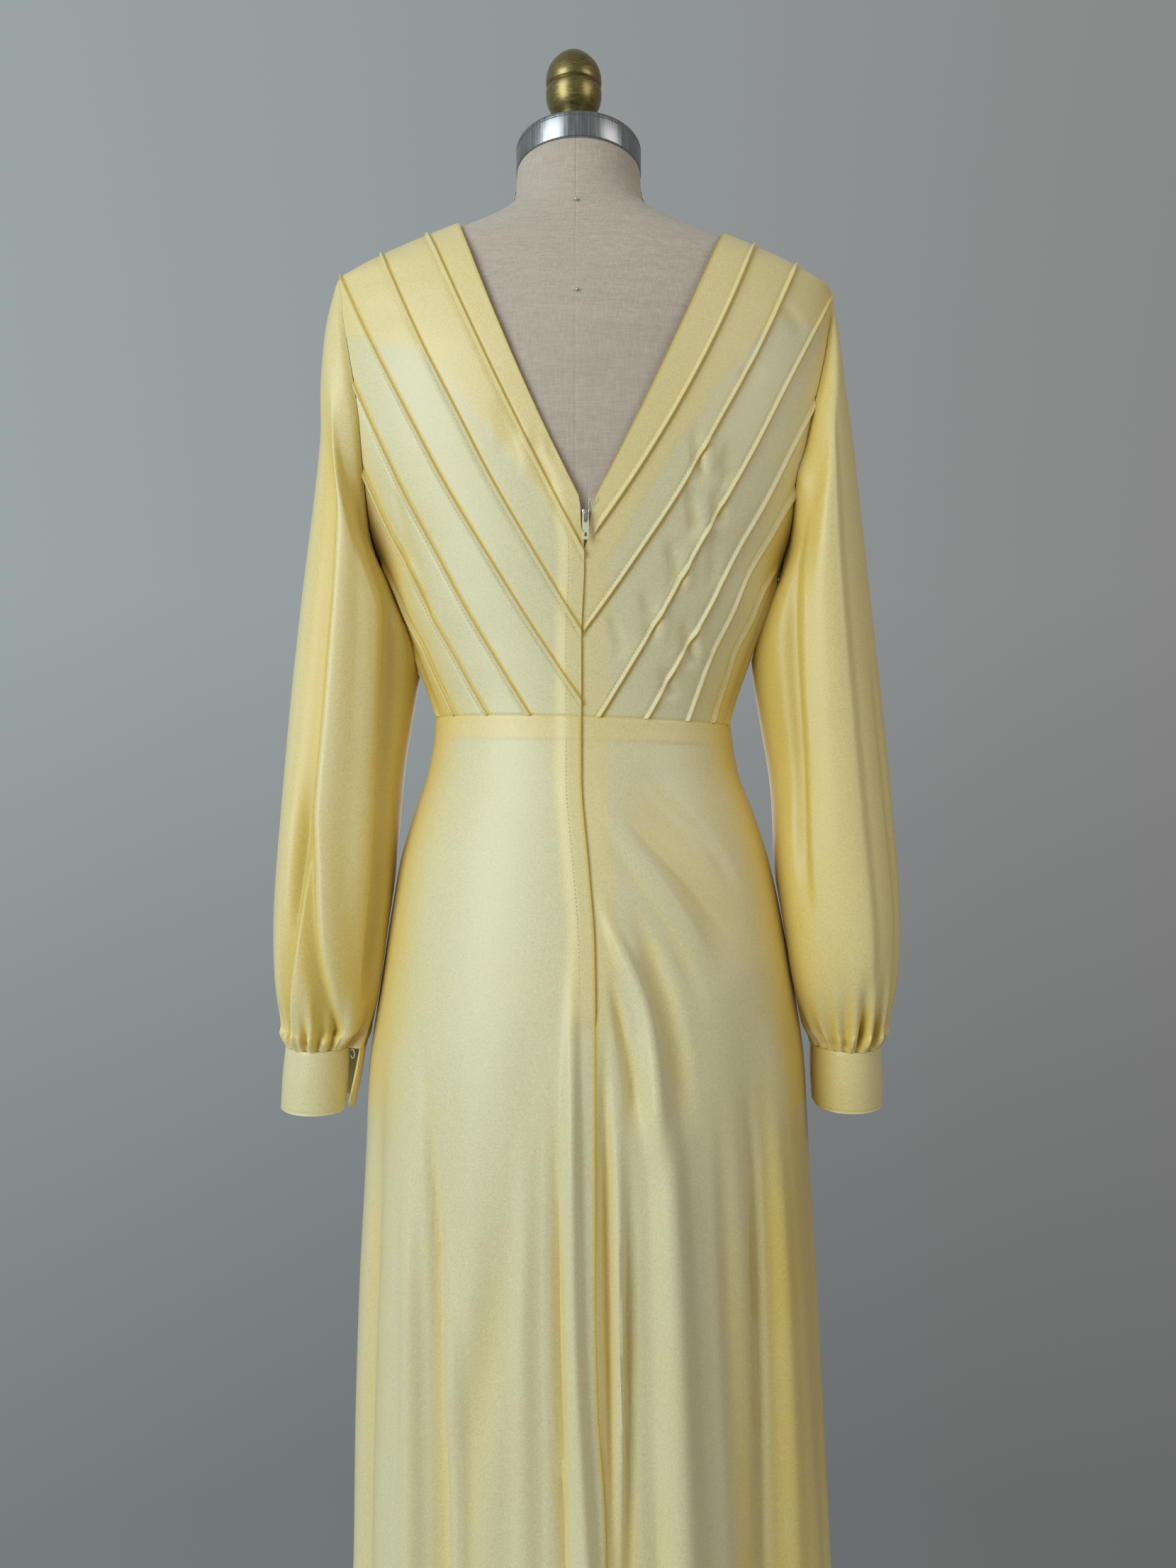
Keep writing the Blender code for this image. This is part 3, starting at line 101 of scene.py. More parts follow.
def unit(vectors):
    """Vectors divided by their length."""
    return vectors / np.maximum(np.linalg.norm(vectors, axis=-1, keepdims=True), 1e-12)


def stepped(*runs):
    """Even steps over runs that follow each other: each run is its start, end and number of points."""
    parts = [np.linspace(*run)[:-1] for run in runs[:-1]]
    return np.concatenate((*parts, np.linspace(*runs[-1])))


def full_turn(count):
    """Evenly spaced angles round a circle."""
    return np.arange(count) * 2.0 * math.pi / count


def wrapped(degrees):
    """Angle brought between minus 180 and 180 degrees."""
    return (degrees + 180.0) % 360.0 - 180.0


print("curve check: half-way", float(smooth(0.5, (0, 1), (0, 2))), "hump", float(bump(0.0)))

# %% [markdown]
# ## Meshes from grids
#
# Every surface here is a grid of points, so one helper can turn it into a mesh. Cloth gets two
# grids, its outer and its inner face, and strips that close the borders: a cut edge then shows the
# thickness of the cloth. The map of a piece is measured along its own rows and columns in metres,
# and named marks, such as the painted shade in folds, are stored on the points for the finish.

# %% Mesh helpers


def corners(grid):
    """Four corners of every cell of a grid, in order round the cell."""
    return np.stack((grid[:-1, :-1], grid[:-1, 1:], grid[1:, 1:], grid[1:, :-1]), axis=2)


def around(grid):
    """A grid with its first column once more at its end, so that it closes."""
    return np.concatenate((grid, grid[:, :1]), axis=1)


def put_mesh(name, points, faces, charts, material, marks=None, sharp=55.0):
    """Mesh object from points and arrays of faces with their map corners; its faces point outwards.

    The signed volume is a sixth of the sum of a dot (b cross c) over the triangles of the faces.
    """
    volume = 0.0
    for part in faces:
        for k in range(1, part.shape[1] - 1):
            a, b, c = points[part[:, 0]], points[part[:, k]], points[part[:, k + 1]]
            volume += float(np.sum(a * np.cross(b, c)))
    if volume < 0:
        faces = [part[:, ::-1] for part in faces]
        charts = [part[:, ::-1] for part in charts]
    sizes = np.concatenate([np.full(len(part), part.shape[1]) for part in faces])
    mesh = bpy.data.meshes.new(name)
    mesh.vertices.add(len(points))
    mesh.vertices.foreach_set("co", np.ascontiguousarray(points, dtype=np.float32).ravel())
    mesh.loops.add(int(sizes.sum()))
    mesh.loops.foreach_set("vertex_index", np.concatenate([part.ravel() for part in faces]).astype(np.int32))
    mesh.polygons.add(len(sizes))
    mesh.polygons.foreach_set("loop_start", np.concatenate(((0,), np.cumsum(sizes)[:-1])).astype(np.int32))
    mesh.update(calc_edges=True)
    chart = mesh.uv_layers.new(name="map")
    chart.data.foreach_set("uv", np.concatenate([part.reshape(-1, 2) for part in charts]).ravel())
    for mark, values in (marks or {}).items():
        layer = mesh.attributes.new(mark, "FLOAT", "POINT")
        layer.data.foreach_set("value", np.asarray(values, dtype=np.float32).ravel())
    mesh.shade_smooth()
    mesh.set_sharp_from_angle(angle=math.radians(sharp))
    mesh.materials.append(material)
    item = bpy.data.objects.new(name, mesh)
    bpy.context.scene.collection.objects.link(item)
    print(name, len(points), "points", int((sizes - 2).sum()), "triangles")
    return item


def chart_of(grid):
    """Map of a grid in metres: lengths summed along its rows and along its columns."""
    u = np.cumsum(np.linalg.norm(np.diff(grid, axis=1, prepend=grid[:, :1]), axis=-1), axis=1)
    v = np.cumsum(np.linalg.norm(np.diff(grid, axis=0, prepend=grid[:1]), axis=-1), axis=0)
    return np.stack((u, v), axis=-1)


def cloth_wall(name, outer, inner, material, marks=None, closed=False):
    """Cloth with thickness: the outer grid, the inner one turned round, and strips round the borders."""
    rows, columns = outer.shape[:2]
    index = np.arange(rows * columns).reshape(rows, columns)
    chart = chart_of(around(outer) if closed else outer)
    index = around(index) if closed else index
    face = corners(index).reshape(-1, 4)
    face_chart = corners(chart).reshape(-1, 4, 2)
    faces = [face, face[:, ::-1] + rows * columns]
    charts = [face_chart, face_chart[:, ::-1]]
    borders = [(index[0], chart[0]), (index[-1, ::-1], chart[-1, ::-1])]
    if not closed:
        borders += [(index[::-1, 0], chart[::-1, 0]), (index[:, -1], chart[:, -1])]
    for line, place in borders:
        low = line + rows * columns
        faces.append(np.stack((line[1:], line[:-1], low[:-1], low[1:]), axis=-1))
        charts.append(np.stack((place[1:], place[:-1], place[:-1], place[1:]), axis=1))
    points = np.concatenate((outer.reshape(-1, 3), inner.reshape(-1, 3)))
    both = {key: np.concatenate((value.ravel(), value.ravel())) for key, value in (marks or {}).items()}
    return put_mesh(name, points, faces, charts, material, both)


def loft(name, rings, material, sharp=40.0):
    """Closed solid through rings of points, with a fan of triangles at each end."""
    rows, columns = rings.shape[:2]
    index = around(np.arange(rows * columns).reshape(rows, columns))
    chart = chart_of(around(rings))
    first = rows * columns
    points = np.concatenate((rings.reshape(-1, 3), rings[:1].mean(axis=1), rings[-1:].mean(axis=1)))
    low = np.stack((np.full(columns, first), index[0, 1:], index[0, :-1]), axis=-1)
    high = np.stack((np.full(columns, first + 1), index[-1, :-1], index[-1, 1:]), axis=-1)
    low_chart = np.stack((chart[0, 1:], chart[0, 1:], chart[0, :-1]), axis=1)
    high_chart = np.stack((chart[-1, 1:], chart[-1, :-1], chart[-1, 1:]), axis=1)
    faces = [corners(index).reshape(-1, 4), low, high]
    charts = [corners(chart).reshape(-1, 4, 2), low_chart, high_chart]
    return put_mesh(name, points, faces, charts, material, sharp=sharp)


def ring(radius_x, radius_y, height, segments, tilt=0.0, centre=(0.0, 0.0)):
    """Ellipse in plan: centre plus radii times cosine and sine; it climbs by tilt towards the back."""
    turn = full_turn(segments)
    y = centre[1] + radius_y * np.sin(turn)
    return np.stack((centre[0] + radius_x * np.cos(turn), y, height + tilt * y), axis=-1)


def tube_rings(path, radius, segments=6):
    """Rings round a path: two directions square to it, times the cosine and sine of the turn."""
    along = unit(np.gradient(path, axis=0))
    side = unit(np.cross(along, (0.31, 0.17, 0.93)))
    up = np.cross(along, side)
    turn = full_turn(segments)[None, :, None]
    width = np.broadcast_to(radius, (len(path),))[:, None, None]
    return path[:, None] + width * (side[:, None] * np.cos(turn) + up[:, None] * np.sin(turn))


def capsules(name, middles, along, up, length, width, material):
    """Many small rounded stitches in one mesh, all copies of one short ring profile.

    A ring at share s of the length has the radius of a flattened ellipse: the root of 1 minus s squared.
    """
    shares = np.array((-0.96, -0.6, 0.6, 0.96))
    turn = np.arange(6) * math.pi / 3.0
    radius = np.sqrt(1.0 - shares ** 2)
    along = unit(along)
    side = unit(np.cross(along, up))
    up = np.cross(side, along)
    shape = middles[:, None, None] + 0.5 * length * shares[None, :, None, None] * along[:, None, None]
    shape = shape + 0.5 * width * radius[None, :, None, None] * (
        np.cos(turn)[None, None, :, None] * side[:, None, None]
        + np.sin(turn)[None, None, :, None] * up[:, None, None])
    count = len(middles)
    index = around(np.arange(24).reshape(4, 6))
    cell = corners(index).reshape(-1, 4)
    start = (np.arange(count) * 24)[:, None, None]
    quads = (cell[None] + start).reshape(-1, 4)
    ends = np.concatenate(((index[:1, 5::-1]), index[3:, :6])).reshape(1, 2, 6)
    ends = (ends + start).reshape(-1, 6)
    flat = np.zeros((len(quads), 4, 2))
    return put_mesh(name, shape.reshape(-1, 3), [quads, ends], [flat, np.zeros((len(ends), 6, 2))], material)


print("mesh helpers ready")

# %% [markdown]
# ## Finishes
#
# The cloth is a butter-yellow crepe satin. It could be painted from a picture, but a node tree keeps
# its scale in metres and repeats nowhere. Three things make it: a colour that runs from a pale
# greenish yellow to gold, a fine pebbled crepe grain in colour and bump, and a soft sheen. The gold
# is painted shade, laid on by the fold mark stored on the points: in troughs, beside the tucks, at
# seams and cut edges, and where the cloth turns from the key light. Where a second layer lies under
# the cloth, at the facings and seam allowances, the yellow is warmer, by the layer mark; this mark
# also carries painted beige shade in the skirt's troughs and over its upper right side, and makes
# the sleeves warmer all over.

# %% Material helpers


def new_tree(name, **inputs):
    """Principled material with its constants on the shader's own sockets, and the place in the object."""
    material = bpy.data.materials.new(name)
    material.use_nodes = True
    tree = material.node_tree
    shader = tree.nodes["Principled BSDF"]
    for key, value in inputs.items():
        shader.inputs[key.replace("_", " ")].default_value = value
    return material, tree, shader, add(tree, "TexCoord").outputs["Object"]


def add(tree, kind, inputs=None, **settings):
    """One node with its settings and the values of its inputs; an input may be another node's output."""
    node = tree.nodes.new("ShaderNode" + kind)
    for key, value in settings.items():
        setattr(node, key, value)
    for key, value in (inputs or {}).items():
        if isinstance(value, bpy.types.NodeSocket):
            tree.links.new(value, node.inputs[key])
        else:
            node.inputs[key].default_value = value
    return node


def noise(tree, place, scale, detail=2.0, stretch=None):
    """Noise pattern in metres: scale is its waves for each metre, stretch pulls it along the axes."""
    if stretch is not None:
        place = add(tree, "Mapping", {"Vector": place, "Scale": stretch}).outputs["Vector"]
    return add(tree, "TexNoise", {"Vector": place, "Scale": scale, "Detail": detail}).outputs["Fac"]


def blend_colour(tree, share, first, second):
    """Mix of two colours by a share."""
    mix = add(tree, "Mix", {"Factor": share}, data_type="RGBA")
    for key, value in (("A", first), ("B", second)):
        socket = [s for s in mix.inputs if s.name == key and s.type == "RGBA"][0]
        if isinstance(value, bpy.types.NodeSocket):
            tree.links.new(value, socket)
        else:
            socket.default_value = (*value, 1.0)
    return [s for s in mix.outputs if s.type == "RGBA"][0]


def sums(tree, operation, first, second):
    """One step of arithmetic on two values."""
    node = add(tree, "Math", operation=operation)
    for socket, value in zip(node.inputs, (first, second)):
        if isinstance(value, bpy.types.NodeSocket):
            tree.links.new(value, socket)
        else:
            socket.default_value = value
    return node.outputs["Value"]


def weighted(tree, first, first_weight, second, second_weight):
    """Two values, each times its weight, added up."""
    return sums(tree, "ADD", sums(tree, "MULTIPLY", first, first_weight),
                sums(tree, "MULTIPLY", second, second_weight))


def span(tree, value, low, high, to_low=0.0, to_high=1.0):
    """Stretch of a value from one span to another, held at the ends."""
    inputs = {"Value": value, "From Min": low, "From Max": high, "To Min": to_low, "To Max": to_high}
    return add(tree, "MapRange", inputs).outputs["Result"]


def connect(tree, shader, colour, height=None, strength=0.0, distance=0.0, rough=None):
    """Links to the shader: its colour, the bump of a height and its roughness, as far as they are given."""
    tree.links.new(colour, shader.inputs["Base Color"])
    if height is not None:
        relief = add(tree, "Bump", {"Height": height, "Strength": strength, "Distance": distance})
        tree.links.new(relief.outputs["Normal"], shader.inputs["Normal"])
    if rough is not None:
        tree.links.new(rough, shader.inputs["Roughness"])


# Colours of the satin: its own pale yellow, the warmer yellow of the layer mark, and two golds of painted
# shade.
PALE = (0.84, 0.76, 0.455)
WARM = (0.91, 0.755, 0.36)
SHADE_GOLD = (0.86, 0.65, 0.19)
DEEP_SHADE_GOLD = (0.72, 0.53, 0.11)


def satin(name, roughness=0.36):
    """Crepe satin: pale, then gold and deep gold of painted shade by the fold mark, warm by the layer mark,
    with a pebbled grain.
    """
    material, tree, shader, place = new_tree(
        name, Sheen_Weight=0.15, Sheen_Roughness=0.4, Sheen_Tint=(1.0, 0.97, 0.84, 1.0),
        Specular_IOR_Level=0.6)
    fold = add(tree, "Attribute", attribute_name="fold").outputs["Fac"]
    under = add(tree, "Attribute", attribute_name="layer").outputs["Fac"]
    cloud = noise(tree, place, 9.0)
    grain = noise(tree, place, 800.0, 3.0)
    fine = noise(tree, place, 2000.0, 1.0)
    # The fold mark is painted shade; the slow cloud adds random tone to it before the golds are mixed in.
    mixed = sums(tree, "ADD", fold, sums(tree, "MULTIPLY", sums(tree, "SUBTRACT", cloud, 0.5), 0.35))
    shade = blend_colour(tree, under, PALE, WARM)
    shade = blend_colour(tree, span(tree, mixed, 0.0, 0.65), shade, SHADE_GOLD)
    shade = blend_colour(tree, span(tree, mixed, 0.60, 1.10), shade, DEEP_SHADE_GOLD)
    speck = span(tree, grain, 0.30, 0.70, 0.90, 1.07)
    speckled = add(tree, "HueSaturation", {"Color": shade, "Value": speck}).outputs["Color"]
    rough = span(tree, grain, 0.3, 0.7, roughness - 0.05, roughness + 0.07)
    connect(tree, shader, speckled, weighted(tree, grain, 0.7, fine, 0.3), 0.42, 0.0004, rough)
    return material


SATIN = satin("butter_satin")
print("satin nodes", len(SATIN.node_tree.nodes))

# %% [markdown]
# ## The body under the cloth
#
# A fitted bodice and a flared skirt share one smooth shape: an ellipse for each height, with its own
# half width and its own depth to the back and to the front. The skirt's flutes are added to it as
# soft humps that start at the hip and grow to the hem. All panels are cut from this one surface, so
# their seams meet.

# %% Body surface
HEM_HEIGHT = 0.040
WAIST_HEIGHT = 1.0507
WAIST_TILT = 0.029
ZIP_END_HEIGHT = 0.838
SEAM_GAP = 0.0001
CLOTH = 0.0009
BODY_KEYS = ("height", "centre_x", "half_width", "back", "front")
BODY_ROWS = np.array((
    (0.040, -0.0130, 0.2090, 0.182, 0.170), (0.360, -0.0115, 0.1945, 0.162, 0.148),
    (0.500, -0.0090, 0.1900, 0.152, 0.138), (0.600, -0.0080, 0.1860, 0.145, 0.131),
    (0.700, -0.0075, 0.1805, 0.138, 0.124), (0.775, -0.0070, 0.1770, 0.131, 0.118),
    (0.830, -0.0070, 0.1695, 0.125, 0.113), (0.900, -0.0060, 0.1580, 0.114, 0.107),
    (0.940, -0.0050, 0.1499, 0.106, 0.104), (0.980, -0.0044, 0.1374, 0.097, 0.100),
    (1.010, -0.0036, 0.1269, 0.090, 0.098), (1.050, -0.0035, 0.1208, 0.085, 0.093),
    (1.100, -0.0030, 0.1367, 0.087, 0.097), (1.145, -0.0030, 0.1560, 0.091, 0.105),
    (1.178, -0.0020, 0.1640, 0.095, 0.111), (1.220, -0.0010, 0.1820, 0.098, 0.113),
    (1.270, 0.0000, 0.1990, 0.100, 0.108), (1.320, 0.0000, 0.2080, 0.099, 0.097),
    (1.370, 0.0000, 0.2105, 0.091, 0.080), (1.400, 0.0000, 0.2070, 0.082, 0.066),
    (1.411, 0.0000, 0.1920, 0.078, 0.060), (1.427, 0.0000, 0.1600, 0.070, 0.051),
    (1.441, 0.0000, 0.1250, 0.064, 0.045), (1.4506, 0.0000, 0.0970, 0.060, 0.042),
    (1.460, 0.0000, 0.0720, 0.056, 0.040),
))
# Flutes: angle at the top and at the hem from the centre back, starting height, depth, half width
FLUTE_ROWS = (
    (66.0, 70.0, 0.82, -0.012, 11.0), (52.0, 53.0, 0.80, 0.009, 10.0), (37.0, 37.0, 0.80, -0.013, 9.0),
    (28.0, 27.0, 0.80, 0.008, 8.0), (13.0, 12.0, 0.84, -0.008, 9.0), (3.0, 3.0, 0.84, 0.005, 7.0),
    (-12.0, -12.0, 0.84, -0.008, 7.0), (-20.0, -22.0, 0.86, 0.010, 9.0),
    (-44.0, -42.0, 0.84, -0.014, 11.0), (-58.0, -58.0, 0.84, 0.011, 10.0),
    (-76.0, -77.0, 0.80, -0.011, 10.0), (106.0, 104.0, 0.84, -0.011, 11.0),
    (124.0, 123.0, 0.84, 0.009, 10.0), (143.0, 143.0, 0.88, -0.012, 11.0),
    (162.0, 162.0, 0.88, 0.009, 10.0), (181.0, 182.0, 0.88, -0.011, 10.0),
    (201.0, 201.0, 0.88, 0.010, 10.0), (221.0, 222.0, 0.86, -0.012, 11.0),
    (240.0, 240.0, 0.84, 0.009, 10.0), (258.0, 259.0, 0.82, -0.009, 9.0),
)


def body(name, height):
    """One column of the body table at a height."""
    return smooth(height, BODY_ROWS[:, 0], BODY_ROWS[:, BODY_KEYS.index(name)])


def flutes(angle, height):
    """Sum of humps round the skirt, each times its depth and the 0.8th power of the fall below its start."""
    total = np.zeros(np.broadcast(angle, height).shape)
    degrees = np.degrees(angle)
    for top_angle, hem_angle, start, depth, half_width in FLUTE_ROWS:
        fall = np.clip((start - height) / (start - HEM_HEIGHT), 0.0, 1.0)
        offset = wrapped(degrees - top_angle - (hem_angle - top_angle) * fall)
        total = total + depth * fall ** 0.8 * bump(offset / half_width)
    return total


def body_face(angle, height):
    """Ellipse point at an angle from the centre back, moved out by the flutes."""
    half_width = body("half_width", height)
    depth = np.where(np.cos(angle) > 0, body("back", height), body("front", height))
    out_x = np.sin(angle) / half_width
    out_y = np.cos(angle) / depth
    length = np.hypot(out_x, out_y)
    rise = flutes(angle, height)
    x = body("centre_x", height) + half_width * np.sin(angle) + rise * out_x / length
    y = depth * np.cos(angle) + rise * out_y / length
    return np.stack((x, y, height + 0.0 * x), axis=-1)


def body_normal(angle, height):
    """Outward normal: the cross product of the surface's slopes up and round the body."""
    round_body = body_face(angle + 0.002, height) - body_face(angle - 0.002, height)
    up_body = body_face(angle, height + 0.0005) - body_face(angle, height - 0.0005)
    return unit(np.cross(up_body, round_body))


def angle_at(half, x, height):
    """Angle of a sideways place on one half: the arcsine of its share of the half width."""
    limit = math.pi / 2 - 0.5 * SEAM_GAP / body(half, height)
    share = np.clip((x - body("centre_x", height)) / body("half_width", height), -1.0, 1.0)
    turn = np.clip(np.arcsin(share), -limit, limit)
    return turn if half == "back" else math.pi - turn


def on_body(half, x, height):
    """Point of the body surface and its outward normal, on the back or front half."""
    angle = angle_at(half, x, height)
    return body_face(angle, height), body_normal(angle, height)


def waist_height(x):
    """Height of the waist seam, a little higher on the left."""
    return WAIST_HEIGHT + WAIST_TILT * x


print("waist", round(float(body("half_width", 1.05)) * 2000), "mm wide")

# %% [markdown]
# ## Listed folds
#
# Cloth that is pulled over a hip or hangs from a gather makes soft troughs and ridges. A simulation
# would put them anywhere, so each one is given as a short path across the back or the front, with a
# depth and a width. The cloth moves along its normal by the depth times a hump of the distance to the
# path, which dies out at both ends of the path. The tables of folds are in millimetres, because such
# small numbers are easier to read and to change than parts of a metre.

# %% Folds


def distance_to(path, x, z, steps=24):
    """Distance of points to a smooth path in the x-z plane, and the share of the path they lie at."""
    fine = through(np.linspace(0.0, len(path) - 1.0, steps + 1), np.array(path))
    run = np.diff(fine, axis=0)
    length = np.hypot(run[:, 0], run[:, 1])
    start = np.concatenate(((0.0,), np.cumsum(length)[:-1]))
    best = np.full(x.shape, 1e9)
    share = np.zeros(x.shape)
    for k in range(steps):
        dx, dz = x - fine[k, 0], z - fine[k, 1]
        t = np.clip((dx * run[k, 0] + dz * run[k, 1]) / length[k] ** 2, 0.0, 1.0)
        apart = np.hypot(dx - t * run[k, 0], dz - t * run[k, 1])
        closer = apart < best
        best = np.where(closer, apart, best)
        share = np.where(closer, (start[k] + t * length[k]) / length.sum(), share)
    return best, share


def metres(values):
    """Millimetres turned into metres."""
    return tuple(value / 1000.0 for value in values)


def fold_rows(side, rows):
    """Rows of folds on one side in metres, from millimetres: depth, half width, then points (x, height)."""
    return tuple((side, *metres(row[:2]), tuple(metres(point) for point in row[2:])) for row in rows)


def folds(face, normal, rows):
    """Sum over the folds of depth, times a hump of distance over a half width that grows along the path."""
    total = np.zeros(face.shape[:-1])
    for side, depth, half_width, path in rows:
        towards = ease(2.5 * normal[..., 1] * (1.0 if side == "back" else -1.0))
        apart, share = distance_to(path, face[..., 0], face[..., 2])
        fade_in = min(0.36, 0.17 / math.dist(path[0], path[-1]))
        fading = ease(share / fade_in) * ease((1.0 - share) / 0.28)
        total = total + depth * bump(apart / (half_width * (0.72 + 0.56 * share))) * fading * towards
    return total


def trough_shade(rise, deep=0.0035):
    """Painted shade in troughs for the fold mark: 0 on ridges, up to 1 in troughs."""
    return np.clip(-rise / deep, 0.0, 1.0)


# Direction towards the key light, from which the painted shade of surfaces turned away is measured.
KEY_FROM = np.array((0.37, 0.89, 0.26))


def key_shade_share(normal):
    """Painted shade where the cloth turns from the key light and sees only other yellow cloth: 0 to 1."""
    return ease(0.50 - np.sum(normal * KEY_FROM, axis=-1))


print("folds ready")

# %% [markdown]
# ## Lines of the back bodice
#
# The neckline, the seven pintucks of each side and the side seam all fan out from the shoulder and
# the armhole and end at the centre back or the waist. Each line is a straight run with a sideways
# bow and a slight wave, as sewn tucks have. The panel's grid follows these lines, so a tuck is
# always a row of points and never a staircase.

# %% Bodice lines
LAP_WIDTH = 0.0140
LAP_FLAT = 0.0090
LAP_SLOPE = 0.0210
LAP_LIFT = 0.0018
LAP_FADE = 0.0160
UNDERLAP = 0.0012
CENTRE_ROWS = np.array((
    (0.040, -0.0240), (0.480, -0.0205), (0.560, -0.0150), (0.640, -0.0130), (0.830, -0.0130),
    (0.880, -0.0124), (0.935, -0.0085), (1.008, -0.0027), (1.110, -0.0027), (1.165, -0.0048),
    (1.183, -0.0044), (1.191, -0.0026), (1.204, -0.0020), (1.214, -0.0006),
))
NOTCH_ROWS = np.array((
    (0.842, UNDERLAP), (1.172, UNDERLAP), (1.183, -0.0040), (1.191, -0.0078), (1.200, -0.0082),
    (1.210, -0.0100),
))
# Armholes: height, and how far out the seam lies on the back and on the front
ARMHOLE_ROWS = {
    "left": np.array((
        (1.178, 0.1620, 0.1620), (1.200, 0.1660, 0.1630), (1.239, 0.1678, 0.1600),
        (1.280, 0.1700, 0.1590), (1.313, 0.1744, 0.1630), (1.364, 0.1839, 0.1770),
        (1.390, 0.1878, 0.1850), (1.411, 0.1920, 0.1920),
    )),
    "right": np.array((
        (1.172, 0.1648, 0.1648), (1.178, 0.1650, 0.1648), (1.184, 0.1662, 0.1653),
        (1.196, 0.1697, 0.1670), (1.240, 0.1713, 0.1640), (1.265, 0.1785, 0.1640),
        (1.298, 0.1854, 0.1680), (1.332, 0.1938, 0.1760), (1.356, 0.1985, 0.1860),
        (1.380, 0.2025, 0.1960), (1.400, 0.2070, 0.2070),
    )),
}
# Lines: top height, where they end, their foot, sideways bow, wave, and 1 where a tuck is raised
LINE_ROWS = {
    "left": (
        (1.4506, "centre", 1.2138, 0.0055, 0.0000, 0), (1.4420, "centre", 1.1720, 0.0045, 0.0000, 1),
        (1.4275, "centre", 1.1140, 0.0085, 0.0004, 1), (1.4110, "centre", 1.0620, 0.0100, 0.0004, 1),
        (1.3600, "corner", 0.0000, 0.0080, 0.0000, 0), (1.3520, "waist", 0.0018, 0.0078, 0.0000, 0),
        (1.3440, "waist", 0.0063, 0.0074, 0.0000, 0), (1.3360, "waist", 0.0113, 0.0070, 0.0000, 0),
        (1.3090, "waist", 0.0364, 0.0055, 0.0005, 1), (1.2420, "waist", 0.0696, 0.0030, 0.0008, 1),
        (1.1940, "waist", 0.0970, 0.0000, 0.0008, 1), (1.1830, "waist", 0.1120, -0.0010, 0.0000, 1),
    ),
    "right": (
        (1.4435, "centre", 1.2093, 0.0042, 0.0000, 0), (1.4345, "centre", 1.1780, 0.0115, 0.0000, 1),
        (1.4195, "centre", 1.1108, 0.0120, 0.0006, 1), (1.4090, "corner", 0.0000, 0.0090, 0.0000, 0),
        (1.4000, "waist", 0.0165, 0.0050, 0.0006, 1), (1.2957, "waist", 0.0525, 0.0015, 0.0010, 1),
        (1.2270, "waist", 0.0848, -0.0060, 0.0012, 1), (1.1880, "waist", 0.1060, -0.0060, 0.0012, 1),
        (1.1780, "waist", 0.1190, -0.0010, 0.0000, 1),
    ),
}
LINE_STEPS = np.array((0.0, 0.0065, 0.024, 0.065, 0.14, 0.27, 0.43, 0.60, 0.76, 0.90))
EDGE_MARKS = {"left": (LAP_WIDTH, LAP_FLAT), "right": (0.0045, 0.0018)}
FINE_ROWS = stepped((0, 3, 13), (3, 10, 78), (10, 12, 23))


def left_edge(height):
    """x of the left back's free edge, which laps over the zip."""
    return smooth(height, CENTRE_ROWS[:, 0], CENTRE_ROWS[:, 1])


def right_edge(height):
    """x of the right back's edge: under the lap along the zip, beside the left one below it."""
    along_zip = np.interp(height, NOTCH_ROWS[:, 0], NOTCH_ROWS[:, 1])
    share = np.clip((height - ZIP_END_HEIGHT) / (NOTCH_ROWS[0, 0] - ZIP_END_HEIGHT), 0.0, 1.0)
    return left_edge(height) + along_zip * share - SEAM_GAP * (1.0 - share)


def free_edge(side, height):
    """x of a back panel's edge at the centre back."""
    return left_edge(height) if side == "left" else right_edge(height)


def lap_lift(x, height):
    """Rise of the left back near its free edge, to pass over the zip; it fades out at the zip's end."""
    share = ease((LAP_SLOPE - (x - left_edge(height))) / (LAP_SLOPE - LAP_FLAT))
    return LAP_LIFT * share * ease((height - ZIP_END_HEIGHT + LAP_FADE) / LAP_FADE)


def armhole_x(side, front, height):
    """Outward x of an armhole seam at a height, on the back or on the front."""
    rows = ARMHOLE_ROWS[side]
    return smooth(height, rows[:, 0], rows[:, 2 if front else 1])


def along_line(side, number, steps):
    """Straight run from top to foot, plus bow times 4 s (1 - s), plus a sine wave that fades at the ends."""
    top, ends_on, foot, bow, wave, _ = LINE_ROWS[side][number]
    sign = SIGN[side]
    on_shoulder = top >= ARMHOLE_ROWS[side][-1, 0]
    top_x = body("half_width", top) if on_shoulder else armhole_x(side, False, top)
    if ends_on == "waist":
        end_x, end_z = foot, float(waist_height(sign * foot))
    else:
        end_z = foot if ends_on == "centre" else float(waist_height(free_edge(side, WAIST_HEIGHT)))
        end_x = sign * float(free_edge(side, end_z))
    run = np.array((end_x - top_x, end_z - top))
    outward = np.array((-run[1], run[0])) / np.hypot(*run)
    swell = bow * 4.0 * steps * (1.0 - steps)
    swell = swell + wave * np.sin(2.0 * math.pi * (2.5 * steps + 0.31 * number)) * bump(2.0 * steps - 1.0)
    return top_x + run[0] * steps + outward[0] * swell, top + run[1] * steps + outward[1] * swell


def line_steps(side, number):
    """Shares of a line's length for the panel's rows; the last ones follow the marks by the edge."""
    fine = np.linspace(0.0, 1.0, 401)
    x, z = along_line(side, number, fine)
    from_edge = x - SIGN[side] * free_edge(side, z)
    first, second = EDGE_MARKS[side]
    if LINE_ROWS[side][number][1] == "waist":
        first = max(first, from_edge[-1] + 0.005)
        second = max(second, 0.5 * (first + from_edge[-1]))
    marks = np.interp((-first, -second), -from_edge, fine)
    coarse = np.concatenate((LINE_STEPS * marks[0], marks, (1.0,)))
    return np.interp(FINE_ROWS, np.arange(len(coarse)), coarse)


